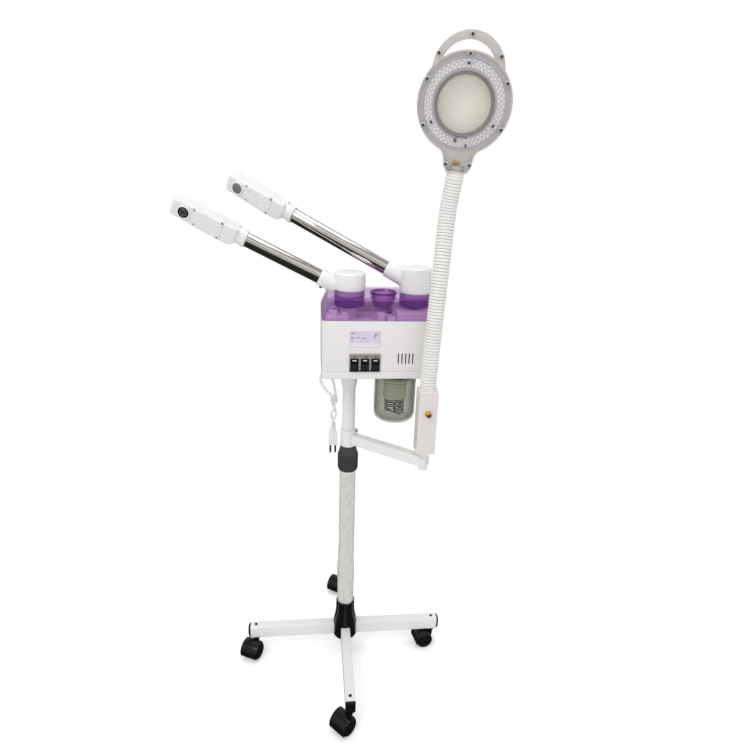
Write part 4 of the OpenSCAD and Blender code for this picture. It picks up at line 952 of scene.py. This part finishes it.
def handle_hole(r_disc, r_in):
    z = (r_disc ** 2 - r_in ** 2 + 43 ** 2) / 86.0; x = math.sqrt(r_disc ** 2 - z * z)
    a0 = math.atan2(z - 43, x); b0 = math.atan2(z, x)
    pts = [(r_in * math.cos(a0 + (math.pi - 2 * a0) * i / 30), 43 + r_in * math.sin(a0 + (math.pi - 2 * a0) * i / 30)) for i in range(31)]
    pts += [(r_disc * math.cos(math.pi - b0 + (2 * b0 - math.pi) * i / 24), r_disc * math.sin(math.pi - b0 + (2 * b0 - math.pi) * i / 24)) for i in range(1, 24)]
    rad = [0.0] * len(pts); rad[0] = rad[30] = 3.0
    return fillet(pts, rad, 5)
m = Mesh()
full = outline(LR, 53.8, 0.0); hh = handle_hole(LR, 42.3)
inner = outline(69.0, 0, 2.6)
m.plate(full, [hh, circ(45, 96)], -13.0, -8.4, HP, top=0.0, bot=2.6, seg=4)
m.plate(full, [hh, inner], -8.5, 10.8, HP, top=0.4, bot=0)
m.plate(circ(47.6, 96), [circ(45, 96)], -8.6, 9.2, HP, top=0.3)
m.plate(outline(69.6, 0, 2.0), [circ(62.0, 120)], 2.2, 5.6, HP, top=0.6)
for a in (28, 90, 152, 208, 332):
    m.lathe([(0, -9), (3.2, -9), (3.2, 10.7), (0, 10.7)], HP @ T(66.8 * math.cos(math.radians(a)), 66.8 * math.sin(math.radians(a)), 0), n=28)
for s in (-1, 1):                 # hinge ears of the lens cap
    m.lathe(fillet([(1.45, 0), (3.4, 0), (3.4, 2.3), (1.45, 2.3)], .3, 2), H @ T(9.55 if s > 0 else -7.25, 18, -54) @ R(-90, "Y"), n=32)
    m.box((7.25 if s > 0 else -9.55, 12.6, -57.2), (9.55 if s > 0 else -7.25, 18.0, -50.8), M=H, r=0.4)
m.lathe([(0, -9.4), (1.42, -9.4), (1.42, 9.4), (0, 9.4)], H @ T(0, 18, -54) @ R(90, "Y"), n=24, mi=1)
put(m.build("lamp_back_shell", [WHITE, STEEL], sharp=36), "lamp_head", ["lamp_head_back"])

m = Mesh()
m.plate(outline(LR - 0.5, 53.2, 0.5), [handle_hole(LR + 0.3, 42.6), circ(45.3, 96)], 11.0, 14.0, HP, top=1.3, bot=0.2, seg=4)
put(m.build("lamp_front_cover", [COVER], sharp=40), "lamp_head", ["lamp_head_front"])

m = Mesh()
m.lathe(fillet([(39.6, 4.4), (40.6, 6.4), (40.9, 8.4), (42.2, 10.4), (42.5, 12.6), (43.6, 14.6), (44.9, 14.6), (44.9, -5), (41.4, -5), (41.4, 4.4)],
               [.3, .5, .5, .5, .5, .6, .8, .5, .2, 0], 3), HP, n=128)
put(m.build("lens_ring", [BEZEL]), "lamp_head", ["lens_bezel"])

m = Mesh()
pr = [(41.0 * i / 12, 3.9 - 3.0 * (i / 12) ** 2) for i in range(13)] + [(41.0 * i / 12, -4.9 + 3.0 * (i / 12) ** 2) for i in range(12, -1, -1)]
m.lathe(pr, HP, n=128)
put(m.build("magnifier_lens", [LENS], sharp=50), "lamp_head", ["lens"])

m = Mesh()
m.plate(circ(61.6, 120), [circ(48, 96)], 3.3, 4.9, HP, top=0.2, bot=0.1)
m.lathe(fillet([(61.8, 2.6), (64.6, 2.6), (64.2, 7.4), (62.6, 8.6), (61.8, 7.6)], [.2, .6, 1, .6, .3], 3), HP, n=120, mi=2)
cnt = 48
for row, rad_ in enumerate((51.2, 55.0, 58.8)):
    for i in range(cnt):
        t = 2 * math.pi * (i + (0.5 if row % 2 else 0.0)) / cnt
        deg = math.degrees(t) % 360
        if row == 1 and min(abs(deg - x) for x in (90, 210, 330)) < 4: continue
        m.box((-0.85, -1.25, 0), (0.85, 1.25, 0.9), M=HP @ R(math.degrees(t), "Z") @ T(rad_, 0, 4.8), r=0.2, mi=1, seg=1)
for a in (90, 210, 330):
    m.lathe(fillet([(0, 4.8), (2.3, 4.8), (2.3, 5.9), (1.4, 6.5), (0, 6.5)], [0, 0, .4, .3, 0], 3), HP @ T(54.6 * math.cos(math.radians(a)), 54.6 * math.sin(math.radians(a)), 0), n=28, mi=3)
EDGE = solid("led_edge", (0.66, 0.65, 0.80), rough=0.3, var=0.05, bump=0.03, coat=0.3)
put(m.build("led_ring_board", [LED_BOARD_PAINTED_LIGHT, LED, EDGE, SCREW]), "lamp_head", ["led_board"])

# wire and small fitting behind the clear neck
m = Mesh()
m.sweep([(9.5, -58, 9.8), (8, -64, 10.2), (3, -74, 10.0), (-3, -82, 9.4)], 0.55, n=10, M=HP)
m.lathe(fillet([(0, -6), (3.4, -6), (3.4, -1), (2.6, 0), (2.6, 5), (0, 5)], [0, .5, .5, .3, .6, 0], 3), HP @ T(-2, -83, 7.6) @ R(90, "Y"), n=28, mi=1)
m.box((7.6, -60, 8.6), (10.4, -55, 10.6), M=HP, r=0.4, mi=2)
m.box((-10.5, -53.5, 8.4), (-5.5, -47.0, 9.6), M=HP, r=0.4, mi=3)
m.box((-9.6, -51.0, 9.2), (-6.4, -48.6, 10.6), M=HP, r=0.4, mi=2)
m.sweep([(-7.5, -50, 10.4), (-7.2, -47, 10.5), (-5, -45.4, 10.5), (2, -45.0, 10.5), (9, -45.6, 10.5), (10, -47.4, 10.4)], 0.7, n=10, M=HP, mi=3)
put(m.build("lamp_wire", [CORD, BRASS, SCREW, STEEL]), "lamp_head", [])

m = Mesh()
CM = HP
m.plate(circ(47, 128), [], -16.3, -13.3, CM, top=0.5, bot=1.0)
m.lathe(fillet([(0, -13.4), (38, -13.4), (38.6, -12.9), (36, -12.6), (0, -12.3)], [0, .2, .3, 1, 0], 3), CM, n=96)
m.plate(rr(-7, -54, 7, -42, 1.0, 4), [], -16.2, -13.4, CM, top=0.3, bot=0.4)
m.lathe(fillet([(1.52, -7), (3.4, -7), (3.4, 7), (1.52, 7)], .35, 3), H @ T(0, 18, -54) @ R(90, "Y"), n=32)
put(m.build("lens_cover_lid", [IVORY_PAINTED_LIGHT]), "lens_cap", ["lens_cap"])

m = Mesh()
spots = [(0, 91), (-45, 65.2), (45, 65.2), (-18.6, -85), (18.6, -85)] + [(66.8 * math.cos(math.radians(a)), 66.8 * math.sin(math.radians(a))) for a in (28, 90, 152, 208, 332)]
for x, y in spots:
    F = HP @ T(x, y, 0)
    m.lathe(fillet([(0, 5), (1.2, 5), (1.2, 14.1), (2.0, 14.1), (2.0, 14.7), (1.5, 15.2), (0.8, 15.1), (0.6, 14.5), (0, 14.5)], [0, 0, 0, .1, .2, .3, .1, .1, 0], 3), F, n=28, mi=0)
    m.lathe(fillet([(1.6, 14.02), (3.9, 14.02), (3.7, 14.4), (1.6, 14.55)], [0, .1, .15, 0], 2), F, n=36, mi=1)
put(m.build("cover_screws", [SCREW, WASHER]), "lamp_head", ["head_screws"])

# ------------------------------------------------------------------ CAD nodes kept as they are
for nm, mat in (("collet_sleeve", BLACK), ("control_board", GREEN), ("ozone_lamp", QUARTZ)):
    o = frame["nodes"][nm]
    o.data.materials.clear(); o.data.materials.append(mat)

# ------------------------------------------------------------------ studio
fl = bpy.data.meshes.new("floor")
fl.from_pydata([(-9, -5, 0), (9, -5, 0), (9, 14, 0), (-9, 14, 0)], [], [[0, 1, 2, 3]])
FLOOR = solid("floor_pale", (0.90, 0.90, 0.90), rough=0.9, var=0.003, bump=0.0, spec=0.1, emit=0.24)
fn = FLOOR.node_tree; fo = [n for n in fn.nodes if n.type == "OUTPUT_MATERIAL"][0]; fp = [n for n in fn.nodes if n.type == "BSDF_PRINCIPLED"][0]
ftc = fn.nodes.new("ShaderNodeTexCoord"); fl_ = fn.nodes.new("ShaderNodeVectorMath"); fl_.operation = "LENGTH"
fmr = fn.nodes.new("ShaderNodeMapRange"); fmr.inputs["From Min"].default_value = 0.35; fmr.inputs["From Max"].default_value = 1.25
fem = fn.nodes.new("ShaderNodeEmission"); fem.inputs["Strength"].default_value = 1.0; fmx = fn.nodes.new("ShaderNodeMixShader")
fn.links.new(ftc.outputs["Object"], fl_.inputs[0]); fn.links.new(fl_.outputs["Value"], fmr.inputs["Value"]); fn.links.new(fmr.outputs["Result"], fmx.inputs[0])
fn.links.new(fp.outputs["BSDF"], fmx.inputs[1]); fn.links.new(fem.outputs[0], fmx.inputs[2]); fn.links.new(fmx.outputs[0], fo.inputs["Surface"])
fl.materials.append(FLOOR)
flo = bpy.data.objects.new("floor", fl); bpy.context.collection.objects.link(flo); flo.visible_glossy = False

w = bpy.data.worlds.new("studio"); bpy.context.scene.world = w; w.use_nodes = True
nt = w.node_tree; nt.nodes.clear()
wo = nt.nodes.new("ShaderNodeOutputWorld"); bg = nt.nodes.new("ShaderNodeBackground"); bg2 = nt.nodes.new("ShaderNodeBackground")
lp_ = nt.nodes.new("ShaderNodeLightPath"); mxs = nt.nodes.new("ShaderNodeMixShader")
bg.inputs["Color"].default_value = (1, 1, 1, 1); bg.inputs["Strength"].default_value = 0.72
bg2.inputs["Color"].default_value = (1, 1, 1, 1); bg2.inputs["Strength"].default_value = 1.0
# polished parts see soft light and dark bands, as in a room, instead of an even white
bg3 = nt.nodes.new("ShaderNodeBackground"); tcw = nt.nodes.new("ShaderNodeTexCoord"); sp = nt.nodes.new("ShaderNodeSeparateXYZ")
mrw = nt.nodes.new("ShaderNodeMapRange"); mrw.inputs["From Min"].default_value = -1.0; mrw.inputs["From Max"].default_value = 1.0
ramp = nt.nodes.new("ShaderNodeValToRGB"); el = ramp.color_ramp.elements
el[0].position = 0.0; el[0].color = (0.03, 0.032, 0.028, 1); el[1].position = 1.0; el[1].color = (0.60, 0.60, 0.60, 1)
for pos, c in ((0.30, (0.03, 0.034, 0.026)), (0.40, (0.12, 0.12, 0.10)), (0.47, (0.42, 0.40, 0.39)), (0.52, (0.80, 0.75, 0.74)), (0.60, (0.95, 0.93, 0.92)),
               (0.655, (0.16, 0.15, 0.15)), (0.70, (0.85, 0.82, 0.81)), (0.76, (0.97, 0.96, 0.96)), (0.86, (0.98, 0.98, 0.98)), (0.90, (0.35, 0.35, 0.35))):
    e = el.new(pos); e.color = list(c) + [1]
nt.links.new(tcw.outputs["Generated"], sp.inputs[0]); nt.links.new(sp.outputs["Z"], mrw.inputs["Value"]); nt.links.new(mrw.outputs["Result"], ramp.inputs["Fac"])
nt.links.new(ramp.outputs["Color"], bg3.inputs["Color"]); bg3.inputs["Strength"].default_value = 0.95
mxg = nt.nodes.new("ShaderNodeMixShader")
nt.links.new(lp_.outputs["Is Glossy Ray"], mxg.inputs[0]); nt.links.new(bg.outputs[0], mxg.inputs[1]); nt.links.new(bg3.outputs[0], mxg.inputs[2])
nt.links.new(lp_.outputs["Is Camera Ray"], mxs.inputs[0]); nt.links.new(mxg.outputs[0], mxs.inputs[1]); nt.links.new(bg2.outputs[0], mxs.inputs[2])
nt.links.new(mxs.outputs[0], wo.inputs["Surface"])


def lamp(name, loc, target, size, power, size_y=None):
    l = bpy.data.lights.new(name, "AREA"); l.energy = power; l.size = size
    if size_y: l.shape = "RECTANGLE"; l.size_y = size_y
    o = bpy.data.objects.new(name, l); bpy.context.collection.objects.link(o)
    o.location = loc
    o.rotation_euler = (Vector(target) - Vector(loc)).to_track_quat("-Z", "Y").to_euler()
    return o


lamp("key", (-1.3, -1.5, 2.9), (0.05, 0, 0.8), 1.3, 26)
lamp("fill", (1.9, -1.9, 1.5), (0.05, 0, 0.7), 1.6, 7)
lamp("top", (0.1, 0.2, 3.1), (0.0, 0, 0.8), 1.6, 19)

cam = bpy.data.cameras.new("camera"); cam.lens = 26.875; cam.sensor_width = 36.0; cam.sensor_fit = "AUTO"
co = bpy.data.objects.new("camera", cam); bpy.context.collection.objects.link(co)
Rv, Uv, Fv = Vector((0.99443, -0.10053, 0.03180)), Vector((0.00363, 0.33399, 0.94257)), Vector((0.10537, 0.93720, -0.33249))
Rv.normalize(); Fv.normalize(); Uv = Rv.cross(Fv).normalized()
mw = Matrix(((Rv.x, Uv.x, -Fv.x, -0.06797), (Rv.y, Uv.y, -Fv.y, -1.02195), (Rv.z, Uv.z, -Fv.z, 1.02937), (0, 0, 0, 1)))
co.matrix_world = mw
cam.clip_start = 0.02; cam.clip_end = 60
bpy.context.scene.camera = co
bpy.context.scene.view_settings.view_transform = "Standard"
bpy.context.scene.cycles.transparent_max_bounces = 24
